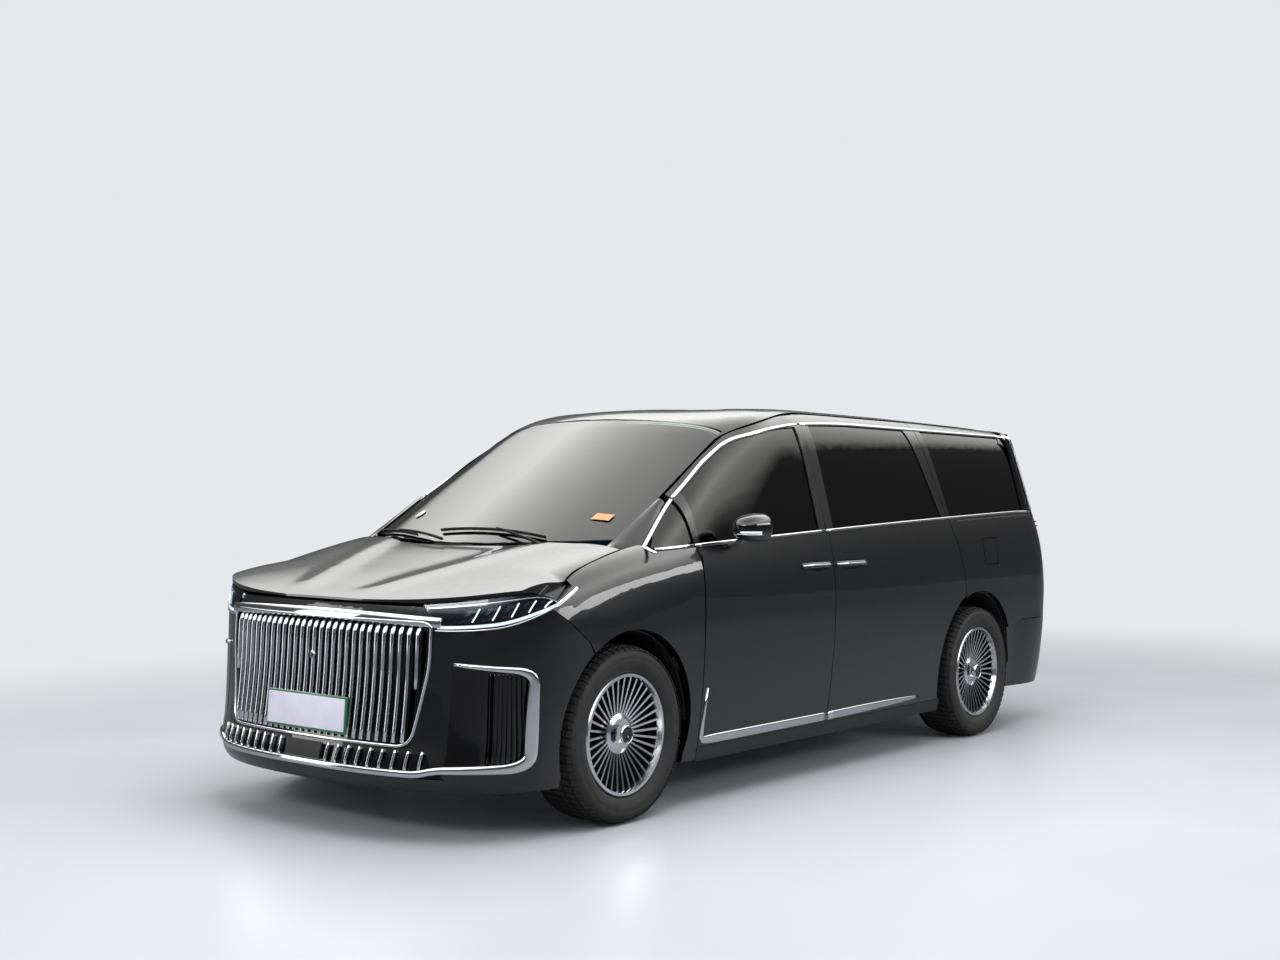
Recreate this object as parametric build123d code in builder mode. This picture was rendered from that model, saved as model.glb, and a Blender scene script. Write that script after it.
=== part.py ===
from build123d import *
import math
import os

os.makedirs("parts", exist_ok=True)

# ---------------------------------------------------------------------------
# Luxury minivan.  Millimetres, +Z up, front at -Y, the vehicle's left at +X.
# Origin on the floor, on the centre plane, midway between the two bumpers.
# ---------------------------------------------------------------------------

# Overall sizes
body_length = 5315.0
body_width = 1984.0
body_height = 1820.0
wheelbase = 3200.0
front_overhang = 935.0
ground_clearance = 190.0
trim_proud = 6.0            # how far bright trim stands off the panels
shut_gap = 5.0              # gap between neighbouring panels
bonnet_gap = 8.0            # between the bonnet and the fenders beside it
seat_gap = 0.3              # between a piece and what carries it

# Panel build-up
panel_wall = 30.0           # fenders, bumpers, quarter panels
bonnet_wall = 12.0
lamp_wall = 80.0            # a headlight with its housing
door_wall = 92.0            # a whole door below the belt line
frame_wall = 38.0           # door frames, pillars and roof above the belt line
glass_wall = 5.0
inner_gap = 6.0             # between a door and the body frame behind it
glass_inset = 5.0           # glass lies this far inside the frame's face

# Wheels
tyre_radius = 369.0
tyre_width = 255.0
rim_radius = 264.0
track_half = 841.0
kingpin_x = 800.0
front_arch_radius = 422.0
rear_arch_radius = 445.0
spoke_count = 36

# Heights
belt_front_z = 1118.0
belt_rear_z = 1277.0
widest_z = 850.0
door_bottom_z = 258.0
cowl_z = 1154.0
bumper_bottom_z = 200.0
rear_bumper_top_z = 640.0

# Places along the length, from the bumpers and the axles
half_width = body_width / 2
nose_y = -body_length / 2
tail_y = body_length / 2
front_axle_y = nose_y + front_overhang
rear_axle_y = front_axle_y + wheelbase
door_front_y = front_axle_y + 500.5
b_post_y = front_axle_y + 1572.5
cowl_y = front_axle_y - 64.5
header_y = front_axle_y + 903.5
lamp_tip_y = front_axle_y - 330
half_gap = shut_gap / 2
upper_outer = frame_wall + inner_gap


def smooth(table, place, column=1):
    """Value at a place of a table of hand-set points, joined by monotone cubics."""
    spans = [(b[column] - a[column]) / (b[0] - a[0]) for a, b in zip(table, table[1:])]
    slopes = [spans[0]]
    for before, after in zip(spans, spans[1:]):
        slopes.append(2 * before * after / (before + after) if before * after > 0 else 0.0)
    slopes.append(spans[-1])
    place = min(max(place, table[0][0]), table[-1][0])
    row = 0
    while row < len(table) - 2 and place > table[row + 1][0]:
        row += 1
    start, end = table[row], table[row + 1]
    step = end[0] - start[0]
    t = (place - start[0]) / step
    return (
        (1 + 2 * t) * (1 - t) ** 2 * start[column]
        + t * (1 - t) ** 2 * step * slopes[row]
        + t * t * (3 - 2 * t) * end[column]
        + t * t * (t - 1) * step * slopes[row + 1]
    )


def span(start, end, step):
    """Evenly spaced places from start to end, about a step apart."""
    count = max(2, math.ceil(abs(end - start) / step))
    return [start + (end - start) * k / count for k in range(count + 1)]


# ---------------------------------------------------------------------------
# The body's surfaces
# ---------------------------------------------------------------------------

# height, half width, nose set back, tail set back
levels = [
    (ground_clearance - 20, half_width - 62, 62, 110),
    (272, half_width - 42, 9, 60),
    (400, half_width - 26, 42, 20),
    (620, half_width - 8, 70, 0),
    (widest_z, half_width, 84, 16),
    (1000, half_width - 9, 130, 32),
    (1150, half_width - 36, 190, 52),
    (1300, half_width - 80, 260, 84),
    (1500, half_width - 131, 350, 140),
    (1700, half_width - 182, 440, 215),
    (body_height + 10, half_width - 215, 500, 265),
]
nose_radius = 650.0
nose_power = 2.6
tail_radius = 500.0
tail_power = 3.0
tail_start_y = tail_y - tail_radius
barrel = 0.012              # how much the sides draw in towards the ends


def side_x(y, z, inset=0.0):
    """Half width of the body at a place and a height."""
    width = smooth(levels, z) - inset
    front, rear = nose_y + nose_radius, tail_y - tail_radius
    if y < front:
        depth = nose_radius - smooth(levels, z, 2) - inset
        width *= max(1 - min((front - y) / depth, 1.0) ** nose_power, 0.0) ** (1 / nose_power)
    if y > rear:
        depth = tail_radius - smooth(levels, z, 3) - inset
        width *= max(1 - min((y - rear) / depth, 1.0) ** tail_power, 0.0) ** (1 / tail_power)
    return width * (1 - barrel * (y / tail_y) ** 2)


def nose_arc(z, inset, y_end, steps=9):
    """Plan of the nose at a height, from a place on the right round to the left."""
    width = smooth(levels, z) - inset
    front = nose_y + nose_radius
    depth = nose_radius - smooth(levels, z, 2) - inset
    last = math.degrees(math.acos(min(max((front - y_end) / depth, 0.0), 1.0) ** (nose_power / 2)))
    left = []
    for k in range(steps + 1):
        angle = math.radians(last * k / steps)
        x = width * math.sin(angle) ** (2 / nose_power)
        y = front - depth * math.cos(angle) ** (2 / nose_power)
        left.append((x * (1 - barrel * (y / tail_y) ** 2), y))
    if y_end > front:
        left.append((side_x(y_end, z, inset), y_end))
    return [(-x, y) for x, y in left[:0:-1]] + left


def tail_arc(z, inset, y_end, steps=9):
    """Plan of the tail at a height, from a place on the right round to the left."""
    width = smooth(levels, z) - inset
    rear = tail_y - tail_radius
    depth = tail_radius - smooth(levels, z, 3) - inset
    left = []
    for k in range(steps + 1):
        angle = math.radians(90 * k / steps)
        x = width * math.sin(angle) ** (2 / tail_power)
        y = rear + depth * max(math.cos(angle), 0.0) ** (2 / tail_power)
        left.append((x * (1 - barrel * (y / tail_y) ** 2), y))
    if y_end < rear:
        left.append((side_x(y_end, z, inset), y_end))
    return [(-x, y) for x, y in left[:0:-1]] + left


def nose_at(x, z, inset=0.0):
    """Place along the length of the nose's skin."""
    width = smooth(levels, z) - inset
    depth = nose_radius - smooth(levels, z, 2) - inset
    return nose_y + nose_radius - depth * (1 - (abs(x) / width) ** nose_power) ** (1 / nose_power)


# place, height, crown
bonnet_line = [
    (nose_y - 10, 868, 6),
    (front_axle_y - 838, 930, 8),
    (front_axle_y - 678, 985, 8),
    (front_axle_y - 378, 1066, 8),
    (front_axle_y - 78, 1140, 8),
    (front_axle_y + 82, 1172, 8),
    (front_axle_y + 620, 1255, 8),
]
crown_half = 680.0
shoulder_base = 500.0
shoulder_power = 8.0


def bonnet_z(x, y, inset=0.0):
    """Height of the bonnet and the fenders' tops."""
    top = smooth(bonnet_line, y)
    width = side_x(max(y, lamp_tip_y), 950) - inset
    top -= inset
    share = (1 - min(abs(x) / width, 0.999) ** shoulder_power) ** (1 / shoulder_power)
    return shoulder_base + (top - smooth(bonnet_line, y, 2) * (x / crown_half) ** 2 - shoulder_base) * share


def cabin_width(z):
    """Half width at the side windows, leaning inwards with height."""
    return half_width - 57 - 0.255 * (z - 1200)


def screen_z(y):
    """Height of the windscreen's centre line."""
    header_z = body_height - 78
    return cowl_z + (header_z - cowl_z) * (y - cowl_y) / (header_y - cowl_y)


# place, height, crown, squareness of the section
cabin_line = [
    (cowl_y - 113, screen_z(cowl_y - 113), 93, 10.0),
    (cowl_y + 487, screen_z(cowl_y + 487), 93, 10.0),
    (cowl_y + 837, screen_z(cowl_y + 837), 93, 10.0),
    (header_y, body_height - 80, 90, 10.0),
    (header_y + 119, body_height - 46, 74, 10.5),
    (header_y + 219, body_height - 29, 48, 11.0),
    (header_y + 369, body_height - 15, 24, 12.0),
    (header_y + 569, body_height - 6, 14, 12.5),
    (header_y + 869, body_height, 10, 12.5),
    (header_y + 1600, body_height - 1, 10, 12.5),
    (rear_axle_y - 200, body_height - 6, 10, 12.5),
    (rear_axle_y + 520, body_height - 16, 10, 12.5),
    (tail_y + 60, body_height - 40, 10, 12.5),
]
cabin_base = 900.0


def cabin_at(y, angle, inset=0.0):
    """Point of the cabin's section: angle 0 on the side, 90 on the crown's centre."""
    top, drop, power = (smooth(cabin_line, y, column) for column in (1, 2, 3))
    rise = math.sin(math.radians(angle)) ** (2 / power)
    flat = cabin_base + (top - inset - cabin_base) * rise
    x = (cabin_width(flat) - inset) * max(math.cos(math.radians(angle)), 0.0) ** (2 / power)
    crown = drop * (x / crown_half) ** 2
    return x * (1 - barrel * (y / tail_y) ** 2), cabin_base + (top - inset - crown - cabin_base) * rise


def cabin_angle(y, z, inset=0.0):
    """Angle at which the cabin's section reaches a height."""
    low, high = 0.0, 90.0
    for _ in range(40):
        middle = (low + high) / 2
        if cabin_at(y, middle, inset)[1] < z:
            low = middle
        else:
            high = middle
    return low


def cabin_top(y, x, inset=0.0):
    """Height of the windscreen and roof surface."""
    top, drop, power = (smooth(cabin_line, y, column) for column in (1, 2, 3))
    full = top - inset - drop * (x / crown_half) ** 2
    z = full
    for _ in range(12):
        share = min(abs(x) / (cabin_width(z) - inset), 0.995)
        z = cabin_base + (full - cabin_base) * (1 - share**power) ** (1 / power)
    return z


def cabin_over(y, start_z, inset):
    """Section over the roof, between two points at one height on its sides."""
    start = cabin_angle(y, start_z)
    end = max(62.0, start + 0.6 * (90 - start))
    corner = [cabin_at(y, start + (end - start) * k / 4, inset) for k in range(5)]
    middle = [(corner[-1][0] * (1 - k / 4), 0.0) for k in range(1, 5)]
    left = corner + [(x, cabin_top(y, x, inset)) for x, _ in middle]
    return left + [(-x, z) for x, z in left[-2::-1]]


def cabin_side(y, low_z, high_z, inset, steps=8):
    """Section of the cabin's side between two heights of its outer face."""
    heights = [low_z + (high_z - low_z) * k / steps for k in range(steps + 1)]
    return [cabin_at(y, cabin_angle(y, z), inset) for z in heights]


def belt_z(y):
    """Height of the belt line, rising to the rear and level at the ends."""
    first, last = front_axle_y + 130, rear_axle_y + 600
    share = min(max((y - first) / (last - first), 0.0), 1.0)
    return belt_front_z + (belt_rear_z - belt_front_z) * (1.25 * share - 0.25 * share**2)


arc_table = [
    (front_axle_y + 162, 1110),
    (front_axle_y + 567, 1388),
    (front_axle_y + 1060, 1644),
    (front_axle_y + 1657, 1731),
    (front_axle_y + 2120, 1744),
    (rear_axle_y + 700, 1744),
]
door_top_z = body_height - 38


def arc_z(y):
    """Height of the bright arc over the side windows."""
    return smooth(arc_table, y)


def shut_z(y):
    """Height of the door tops: just over the arc, then along the roof's edge."""
    return min(arc_z(y) + 20 + 30 * min(max((y - header_y) / 600, 0), 1), door_top_z)


# ---------------------------------------------------------------------------
# Ways of making a piece
# ---------------------------------------------------------------------------


def strip(sections):
    """A wall lofted through thin sections, each a plane, an outer and an inner line."""
    with BuildPart() as wall:
        for plane, outer, inner in sections:
            with BuildSketch(plane):
                with BuildLine():
                    Spline(outer)
                    Line(outer[-1], inner[-1])
                    Spline(inner[::-1])
                    Line(inner[0], outer[0])
                make_face()
        loft()
    return wall.part


def upright(y):
    return Plane.XZ.offset(-y)


def level(z):
    return Plane.XY.offset(z)


def side_block(outline, near=200.0, far=1250.0):
    """Everything behind a side-view outline, between two distances from the centre."""
    with BuildPart() as block:
        with BuildSketch(Plane.YZ.offset(near)):
            with BuildLine():
                Polyline(outline, close=True)
            make_face()
        extrude(amount=far - near)
    return block.part


def plan_block(outline, low, high, radius=0.0):
    """Everything inside a plan-view outline, between two heights."""
    with BuildPart() as block:
        with BuildSketch(Plane.XY.offset(low)) as sketch:
            with BuildLine():
                Polyline(outline, close=True)
            make_face()
            if radius:
                fillet(sketch.vertices(), radius)
        extrude(amount=high - low)
    return block.part


def front_block(outline, front, back, radius=0.0):
    """Everything inside a front-view outline, between two places along the length."""
    with BuildPart() as block:
        with BuildSketch(Plane.XZ.offset(-back)) as sketch:
            with BuildLine():
                Polyline(outline, close=True)
            make_face()
            if radius:
                fillet(sketch.vertices(), radius)
        extrude(amount=back - front)
    return block.part


def wheel_arch(centre, radius, near=470.0, far=1250.0):
    """Round clearance for a wheel, open at the bottom."""
    with BuildPart() as block:
        with BuildSketch(Plane.YZ.offset(near)):
            with Locations(centre):
                Circle(radius)
            with Locations((centre[0], centre[1] / 2)):
                Rectangle(2 * radius * 0.94, centre[1])
        extrude(amount=far - near)
    return block.part


def shaped(wall, keep=(), holes=()):
    """A wall kept inside some blocks, with holes taken out."""
    with BuildPart() as piece:
        add(wall)
        for block in keep:
            add(block, mode=Mode.INTERSECT)
        for hole in holes:
            add(hole, mode=Mode.SUBTRACT)
    return piece.part


def joined(*pieces):
    with BuildPart() as whole:
        for piece in pieces:
            add(piece)
    return whole.part


def largest(piece):
    """The biggest solid of a piece, without its offcuts."""
    return max(piece.solids(), key=lambda solid: solid.volume)


def together(*pieces):
    """Separate solids in one node."""
    return Compound([solid for piece in pieces for solid in piece.solids()])


def mirrored(half):
    """A left piece and its right twin in one node."""
    return together(half, mirror(half, about=Plane.YZ))


def save(part, name):
    part.label = name
    export_step(part, f"parts/{name}.step")


# ---------------------------------------------------------------------------
# Panels of the front
# ---------------------------------------------------------------------------

lamp_line = [
    (nose_y - 60, 822),
    (front_axle_y - 800, 822),
    (front_axle_y - 678, 838),
    (front_axle_y - 528, 893),
    (lamp_tip_y, 996),
]
seam_low = (front_axle_y - 282, 775)
seam_high = (front_axle_y - 478, 920)
front_arch = (front_axle_y + 4, 385)
rear_arch = (rear_axle_y - 40, 390)
front_arch_void = wheel_arch(front_arch, front_arch_radius)
rear_arch_void = wheel_arch(rear_arch, rear_arch_radius)
lamp_inner_x = 598.0
bulkhead_wall = 24.0
bulkhead_front_y = front_arch[0] + front_arch_radius
bulkhead_back_y = bulkhead_front_y + bulkhead_wall
screen_corner_y = front_axle_y + 230
nose_back_y = nose_y + 420


def fender_edge_x(y):
    """Distance from the centre of the shut line between bonnet and fender."""
    table = [
        (lamp_tip_y - 20, 905),
        (lamp_tip_y + 90, 874),
        (front_axle_y - 120, 862),
        (front_axle_y + 90, 848),
        (screen_corner_y, 848),
        (door_front_y, 890),
    ]
    return smooth(table, y)


def bonnet_outline():
    """Half plan of the bonnet, from the nose's centre round to the cowl's centre."""
    front = []
    for k in range(9):
        x = 880 * math.sin(math.radians(90 * k / 8)) ** 0.9
        front.append((x, nose_at(x, 935) + 3))
    return front + [
        (fender_edge_x(y) - bonnet_gap, y) for y in (lamp_tip_y + 20, lamp_tip_y + 120, front_axle_y - 60,
                                                     front_axle_y + 80)
    ]


with BuildPart() as bonnet_edge:
    half_rear = [
        (front_axle_y + 80, fender_edge_x(front_axle_y + 80) - bonnet_gap),
        (front_axle_y + 52, 700),
        (front_axle_y - 14, 500),
        (front_axle_y - 82, 250),
        (front_axle_y - 108, 0),
    ]
    with BuildSketch(Plane.XY.offset(700)):
        with BuildLine():
            half_side = bonnet_outline()
            Spline([(-x, y) for x, y in half_side[:0:-1]] + half_side)
            Spline([(x, y) for y, x in half_rear] + [(-x, y) for y, x in half_rear[-2::-1]])
        make_face()
    extrude(amount=800)

bonnet_sections = []
for y in span(nose_y + 30, front_axle_y + 110, 150):
    edge = side_x(max(y, lamp_tip_y), 950) - 45
    across = [edge * math.sin(math.radians(a)) for a in range(-90, 91, 15)]
    outer = [(x, bonnet_z(x, y)) for x in across]
    inner = [(x, bonnet_z(x, y) - bonnet_wall) for x in across]
    bonnet_sections.append((upright(y), outer, inner))
bonnet = shaped(strip(bonnet_sections), keep=[bonnet_edge.part])
save(bonnet, "bonnet")


def fender_points(y, inset):
    """Points of the fender's section, from the sill to the bonnet's edge."""
    side = [(side_x(y, z, inset), z) for z in span(bumper_bottom_z - 10, shoulder_base, 160)[:-1]]
    top = smooth(bonnet_line, y) - inset
    drop = smooth(bonnet_line, y, 2)
    share = (fender_edge_x(y) - 0.2 * inset) / side_x(y, 950, inset)
    last = math.degrees(math.acos(share ** (shoulder_power / 2)))
    for k in range(11):
        angle = math.radians(last * (k / 10) ** 0.8)
        rise = math.sin(angle) ** (2 / shoulder_power)
        x = side_x(y, min(shoulder_base + (top - shoulder_base) * rise, 950), inset)
        x *= math.cos(angle) ** (2 / shoulder_power)
        side.append((x, shoulder_base + (top - drop * (x / crown_half) ** 2 - shoulder_base) * rise))
    return side


fender_sections = [
    (upright(y), fender_points(y, 0), fender_points(y, panel_wall))
    for y in span(seam_high[0], door_front_y - half_gap, 160)
]
fender_outline = [
    (seam_low[0] + half_gap, seam_low[1]),
    (seam_high[0] + half_gap, seam_high[1] + half_gap),
    (lamp_tip_y + shut_gap, lamp_line[-1][1]),
    (lamp_tip_y + shut_gap, 1400),
    (screen_corner_y - 60, 1400),
    (screen_corner_y, belt_z(screen_corner_y) - half_gap),
    (door_front_y, belt_z(door_front_y) - half_gap),
    (door_front_y, bumper_bottom_z),
    (front_arch[0], bumper_bottom_z),
    front_arch,
]
fender_keep = side_block(fender_outline, near=780)
front_fender = shaped(strip(fender_sections), keep=[fender_keep], holes=[front_arch_void])
save(mirrored(front_fender), "front_fenders")

nose_wall = strip(
    [
        (level(z), nose_arc(z, 0, lamp_tip_y + 60), nose_arc(z, lamp_wall, lamp_tip_y + 60))
        for z in span(780, 1020, 60)
    ]
)
lamp_outline = [(y, z + half_gap) for y, z in lamp_line] + [(lamp_tip_y, 1100), (nose_y - 60, 1100)]
over_bonnet_sections = []
for y in span(nose_y - 20, lamp_tip_y + 40, 120):
    width = side_x(max(y, lamp_tip_y), 950)
    across = [width * math.cos(math.radians(a)) ** (2 / shoulder_power) for a in range(12, 78, 13)]
    across += [0.35 * width, 0]
    across += [-x for x in across[-2::-1]]
    under = [(x, bonnet_z(x, y) - bonnet_wall - bonnet_gap) for x in across]
    over_bonnet_sections.append((upright(y), under, [(x, 1300) for x in across]))
headlight = shaped(
    nose_wall,
    keep=[side_block(lamp_outline, near=lamp_inner_x + half_gap)],
    holes=[strip(over_bonnet_sections)],
)
save(mirrored(largest(headlight)), "headlights")

grille_top_z = 846.0
grille_bottom_z = 384.0
grille_top_x = 590.0
grille_bottom_x = 522.0
grille_frame = 16.0
slat_count = 29
slat_width = 13.0
duct_trim = 16.0
intake_low_z = 289.0
intake_high_z = 350.0
intake_x = 640.0

bumper_outline = [
    (nose_y - 60, bumper_bottom_z),
    (front_arch[0], bumper_bottom_z),
    front_arch,
    (seam_low[0] - half_gap, seam_low[1]),
    (seam_high[0] - half_gap, seam_high[1] - half_gap),
] + [(y, z - half_gap) for y, z in reversed(lamp_line[:-1])]
nose_top_z = bonnet_z(300, nose_y + 110) - bonnet_wall - shut_gap
nose_band = [
    (-lamp_inner_x, 760),
    (lamp_inner_x, 760),
    (lamp_inner_x, nose_top_z),
    (-lamp_inner_x, nose_top_z),
]


def grille_outline(grow):
    """Front view of the grille: wider at the top."""
    return [
        (-grille_bottom_x - grow, grille_bottom_z - grow),
        (grille_bottom_x + grow, grille_bottom_z - grow),
        (grille_top_x + grow, grille_top_z + grow),
        (-grille_top_x - grow, grille_top_z + grow),
    ]


intake_outline = [
    (-intake_x, intake_low_z),
    (intake_x, intake_low_z),
    (intake_x - 20, intake_high_z),
    (-intake_x + 20, intake_high_z),
]
blade_outline = [(-690, 256), (690, 256), (660, intake_low_z - seat_gap), (-660, intake_low_z - seat_gap)]
slot_grow = 2 * seat_gap
blade_slot = [
    (-690 - slot_grow, 256 - seat_gap),
    (690 + slot_grow, 256 - seat_gap),
    (660 + slot_grow, intake_low_z),
    (-660 - slot_grow, intake_low_z),
]


def duct_block(grow):
    """Side duct of the bumper in front view."""
    outline = [
        (712 - grow, 330 - grow),
        (890 + grow, 330 - grow),
        (900 + grow, 640 + grow),
        (712 - grow, 664 + grow),
    ]
    return front_block(outline, nose_y - 80, nose_back_y + 60, 24)


left_duct = duct_block(duct_trim + seat_gap)
ring_block = front_block(grille_outline(grille_frame), nose_y - 80, nose_back_y, 46)
ring_hole = front_block(grille_outline(grille_frame + seat_gap), nose_y - 80, nose_back_y, 46)
bumper_wall = strip(
    [
        (level(z), nose_arc(z, 0, front_arch[0] - 120), nose_arc(z, panel_wall, front_arch[0] - 120))
        for z in span(bumper_bottom_z, 1010, 75)
    ]
)
front_bumper = shaped(
    bumper_wall,
    keep=[
        joined(
            side_block(bumper_outline, near=-1250, far=1250),
            front_block(nose_band, nose_y - 80, nose_back_y),
        )
    ],
    holes=[
        front_arch_void,
        mirror(front_arch_void, about=Plane.YZ),
        ring_hole,
        front_block(intake_outline, nose_y - 80, nose_back_y, 12),
        front_block(blade_slot, nose_y - 80, nose_back_y),
        left_duct,
        mirror(left_duct, about=Plane.YZ),
    ],
)
save(front_bumper, "front_bumper")

trim_wall = strip(
    [
        (level(z), nose_arc(z, -trim_proud, nose_back_y + 40, 7), nose_arc(z, 20, nose_back_y + 40, 7))
        for z in span(bumper_bottom_z + 20, 905, 100)
    ]
)
grille_ring = shaped(
    trim_wall, keep=[ring_block], holes=[front_block(grille_outline(0), nose_y - 80, nose_back_y, 30)]
)
slat_pitch = 2 * grille_top_x / (slat_count + 1)
with BuildPart() as slats:
    for number in range(slat_count):
        x = (number - (slat_count - 1) / 2) * slat_pitch
        lean = max(abs(x) - grille_bottom_x + 24, 0) / (grille_top_x - grille_bottom_x)
        low = grille_bottom_z + seat_gap + lean * (grille_top_z - grille_bottom_z)
        face_line = [(nose_at(x, z) + 3, z) for z in span(low, grille_top_z - 60, 140)]
        crown = (nose_at(x, grille_top_z) + 14, grille_top_z - seat_gap)
        with BuildSketch(Plane.YZ.offset(x - slat_width / 2)):
            with BuildLine():
                Spline(face_line + [crown])
                Polyline(crown, (crown[0] + 12, crown[1]), (face_line[0][0] + 24, low), face_line[0])
            make_face()
        extrude(amount=slat_width)
save(together(grille_ring, slats.part), "grille")

blade = shaped(trim_wall, keep=[front_block(blade_outline, nose_y - 80, nose_back_y)])
duct_frame = shaped(trim_wall, keep=[duct_block(duct_trim)], holes=[duct_block(0)])
with BuildPart() as lower_bars:
    for number in range(15):
        x = (number - 7) * 80
        with BuildSketch(Plane.XY.offset(intake_low_z)):
            with Locations((x, nose_at(x, 330) + 18)):
                Rectangle(34, 30)
        extrude(amount=intake_high_z - intake_low_z)
save(together(lower_bars.part, blade, mirrored(duct_frame)), "lower_grille")

# ---------------------------------------------------------------------------
# Doors
# ---------------------------------------------------------------------------

def screen_outline(grow=0.0):
    """Plan of the windscreen."""
    low = [(x, cowl_y - 10 + 0.00042 * x * x - grow) for x in (0, 200, 400, 600, 764 + grow)]
    high = [(x, header_y + 0.00022 * x * x + grow) for x in (702 + grow, 560, 380, 190, 0)]
    half = low + high
    return half + [(-x, y) for x, y in reversed(half) if x > 0]


b_post = [
    (b_post_y - 10, door_bottom_z - 20),
    (b_post_y + 7, 658),
    (b_post_y + 8, 1030),
    (b_post_y, 1240),
    (b_post_y, body_height),
]
c_post = [
    (rear_axle_y - 215.5, 700),
    (rear_axle_y - 215.5, 846),
    (rear_axle_y - 255, 1040),
    (rear_axle_y - 318.5, 1241),
    (rear_axle_y - 378, 1450),
    (rear_axle_y - 432, 1690),
    (rear_axle_y - 438, body_height),
]
front_glass_rear = b_post_y - 60
slide_glass_front = b_post_y + 75


def window_outline(front, rear, grow=0.0):
    """Side view of a window between two upright edges, each (at the belt, at the arc)."""
    low = span(front[0] - grow, rear[0] + grow, 200)
    high = span(rear[1] + grow, front[1] - grow, 110)
    return [(y, belt_z(y) + 12 - grow) for y in low] + [(y, arc_z(y) - 9 + grow) for y in high]


windows = {
    "quarterlight": window_outline(
        (front_axle_y + 235, front_axle_y + 300), (door_front_y - 12, door_front_y - 12)
    ),
    "front": window_outline((door_front_y + 42, door_front_y + 60), (front_glass_rear, front_glass_rear)),
    "slide": window_outline((slide_glass_front, slide_glass_front), (rear_axle_y - 391, rear_axle_y - 560)),
    "quarter": window_outline((rear_axle_y - 285, rear_axle_y - 372), (rear_axle_y + 830, rear_axle_y + 735)),
}


def lower_wall(front, rear, wall, low_z, over=0.0):
    """Side wall below the belt line."""
    sections = []
    for y in span(front, rear, 420):
        heights = [low_z + (belt_z(y) + over - low_z) * k / 8 for k in range(9)]
        outer = [(side_x(y, z), z) for z in heights]
        inner = [(side_x(y, z) - wall, z) for z in heights]
        sections.append((upright(y), outer, inner))
    return strip(sections)


def upper_wall(front, rear, outer_inset, inner_inset, top_z, step=160.0, below=70.0):
    """Side wall above the belt line, up to a height that follows the roof."""
    sections = []
    for y in span(front, rear, step):
        low = belt_z(y) - below
        sections.append(
            (upright(y), cabin_side(y, low, top_z(y), outer_inset), cabin_side(y, low, top_z(y), inner_inset))
        )
    return strip(sections)


front_door_keep = side_block(
    [(door_front_y + half_gap, 200), (door_front_y + half_gap, 1900)]
    + [(y - half_gap, z) for y, z in reversed(b_post)]
)
front_door = shaped(
    joined(
        lower_wall(door_front_y + half_gap, b_post_y + 40, door_wall, door_bottom_z),
        upper_wall(door_front_y + half_gap, b_post_y + 40, 0, frame_wall, shut_z),
    ),
    keep=[front_door_keep],
    holes=[side_block(windows["front"]), plan_block(screen_outline(14), 900, 1900)],
)
save(front_door, "front_door_left")
save(mirror(front_door, about=Plane.YZ), "front_door_right")

sliding_keep = side_block(
    [(y + half_gap, z) for y, z in b_post]
    + [(y - half_gap, z) for y, z in reversed(c_post)]
    + [(c_post[0][0] - half_gap, door_bottom_z - 20)]
)
rear_arch_door = wheel_arch(rear_arch, rear_arch_radius + 14)
sliding_door = shaped(
    joined(
        lower_wall(b_post_y - 40, rear_axle_y - 200, door_wall, door_bottom_z),
        upper_wall(b_post_y - 40, rear_axle_y - 200, 0, frame_wall, shut_z, 300),
    ),
    keep=[sliding_keep],
    holes=[side_block(windows["slide"]), rear_arch_door],
)
save(mirrored(sliding_door), "sliding_doors")


def pane(front, rear, step=200.0):
    """Side glass a little inside the frame's face."""
    return upper_wall(front, rear, glass_inset, glass_inset + glass_wall, lambda y: arc_z(y) + 6, step, 20)


front_glass = shaped(
    pane(door_front_y + 45, front_glass_rear - 1), keep=[side_block(windows["front"])]
)
save(front_glass, "front_door_glass_left")
save(mirror(front_glass, about=Plane.YZ), "front_door_glass_right")

quarterlight = shaped(
    pane(front_axle_y + 236, door_front_y - 13, 90), keep=[side_block(windows["quarterlight"])]
)
slide_glass = shaped(pane(slide_glass_front + 1, rear_axle_y - 392, 300), keep=[side_block(windows["slide"])])
quarter_glass = shaped(pane(rear_axle_y - 371, tail_start_y, 300), keep=[side_block(windows["quarter"])])

# ---------------------------------------------------------------------------
# Rear quarters, tailgate and rear bumper
# ---------------------------------------------------------------------------

gate_wall = 46.0
gate_swing = 10.0           # extra room beside the upper gate, which swings past the quarters
hinge_y = rear_axle_y + 755
tail_lamp_low_z = 1165.0
tail_lamp_high_z = 1250.0
bumper_seam = [
    (rear_arch[0] + 380, 600),
    (rear_arch[0] + 560, rear_bumper_top_z),
    (tail_y + 100, rear_bumper_top_z),
]


def gate_outline(grow=0.0, swing=0.0):
    """Rear view of the tailgate; swing widens its upper part."""
    half = [
        (0, rear_bumper_top_z + half_gap - grow),
        (660 + grow, rear_bumper_top_z + half_gap - grow),
        (722 + grow, 760),
        (738 + grow, 1150),
        (712 + grow + swing, 1450),
        (668 + grow + swing, 1680),
        (640 + grow + swing, body_height + 40),
    ]
    return half + [(-x, z) for x, z in reversed(half) if x > 0]


def roof_block(front, back):
    """Everything under the roof's section near the tail."""
    with BuildPart() as block:
        left = [cabin_at(hinge_y, angle) for angle in (60, 68, 76)]
        left += [(x, cabin_top(hinge_y, x)) for x in (480, 240, 0)]
        with BuildSketch(Plane.XZ.offset(-back)):
            with BuildLine():
                Spline(left + [(-x, z) for x, z in left[-2::-1]])
                Polyline(
                    (-left[0][0], left[0][1]), (-1150, 1450), (-1150, 300), (1150, 300), (1150, 1450), left[0]
                )
            make_face()
        extrude(amount=back - front)
    return block.part


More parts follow.
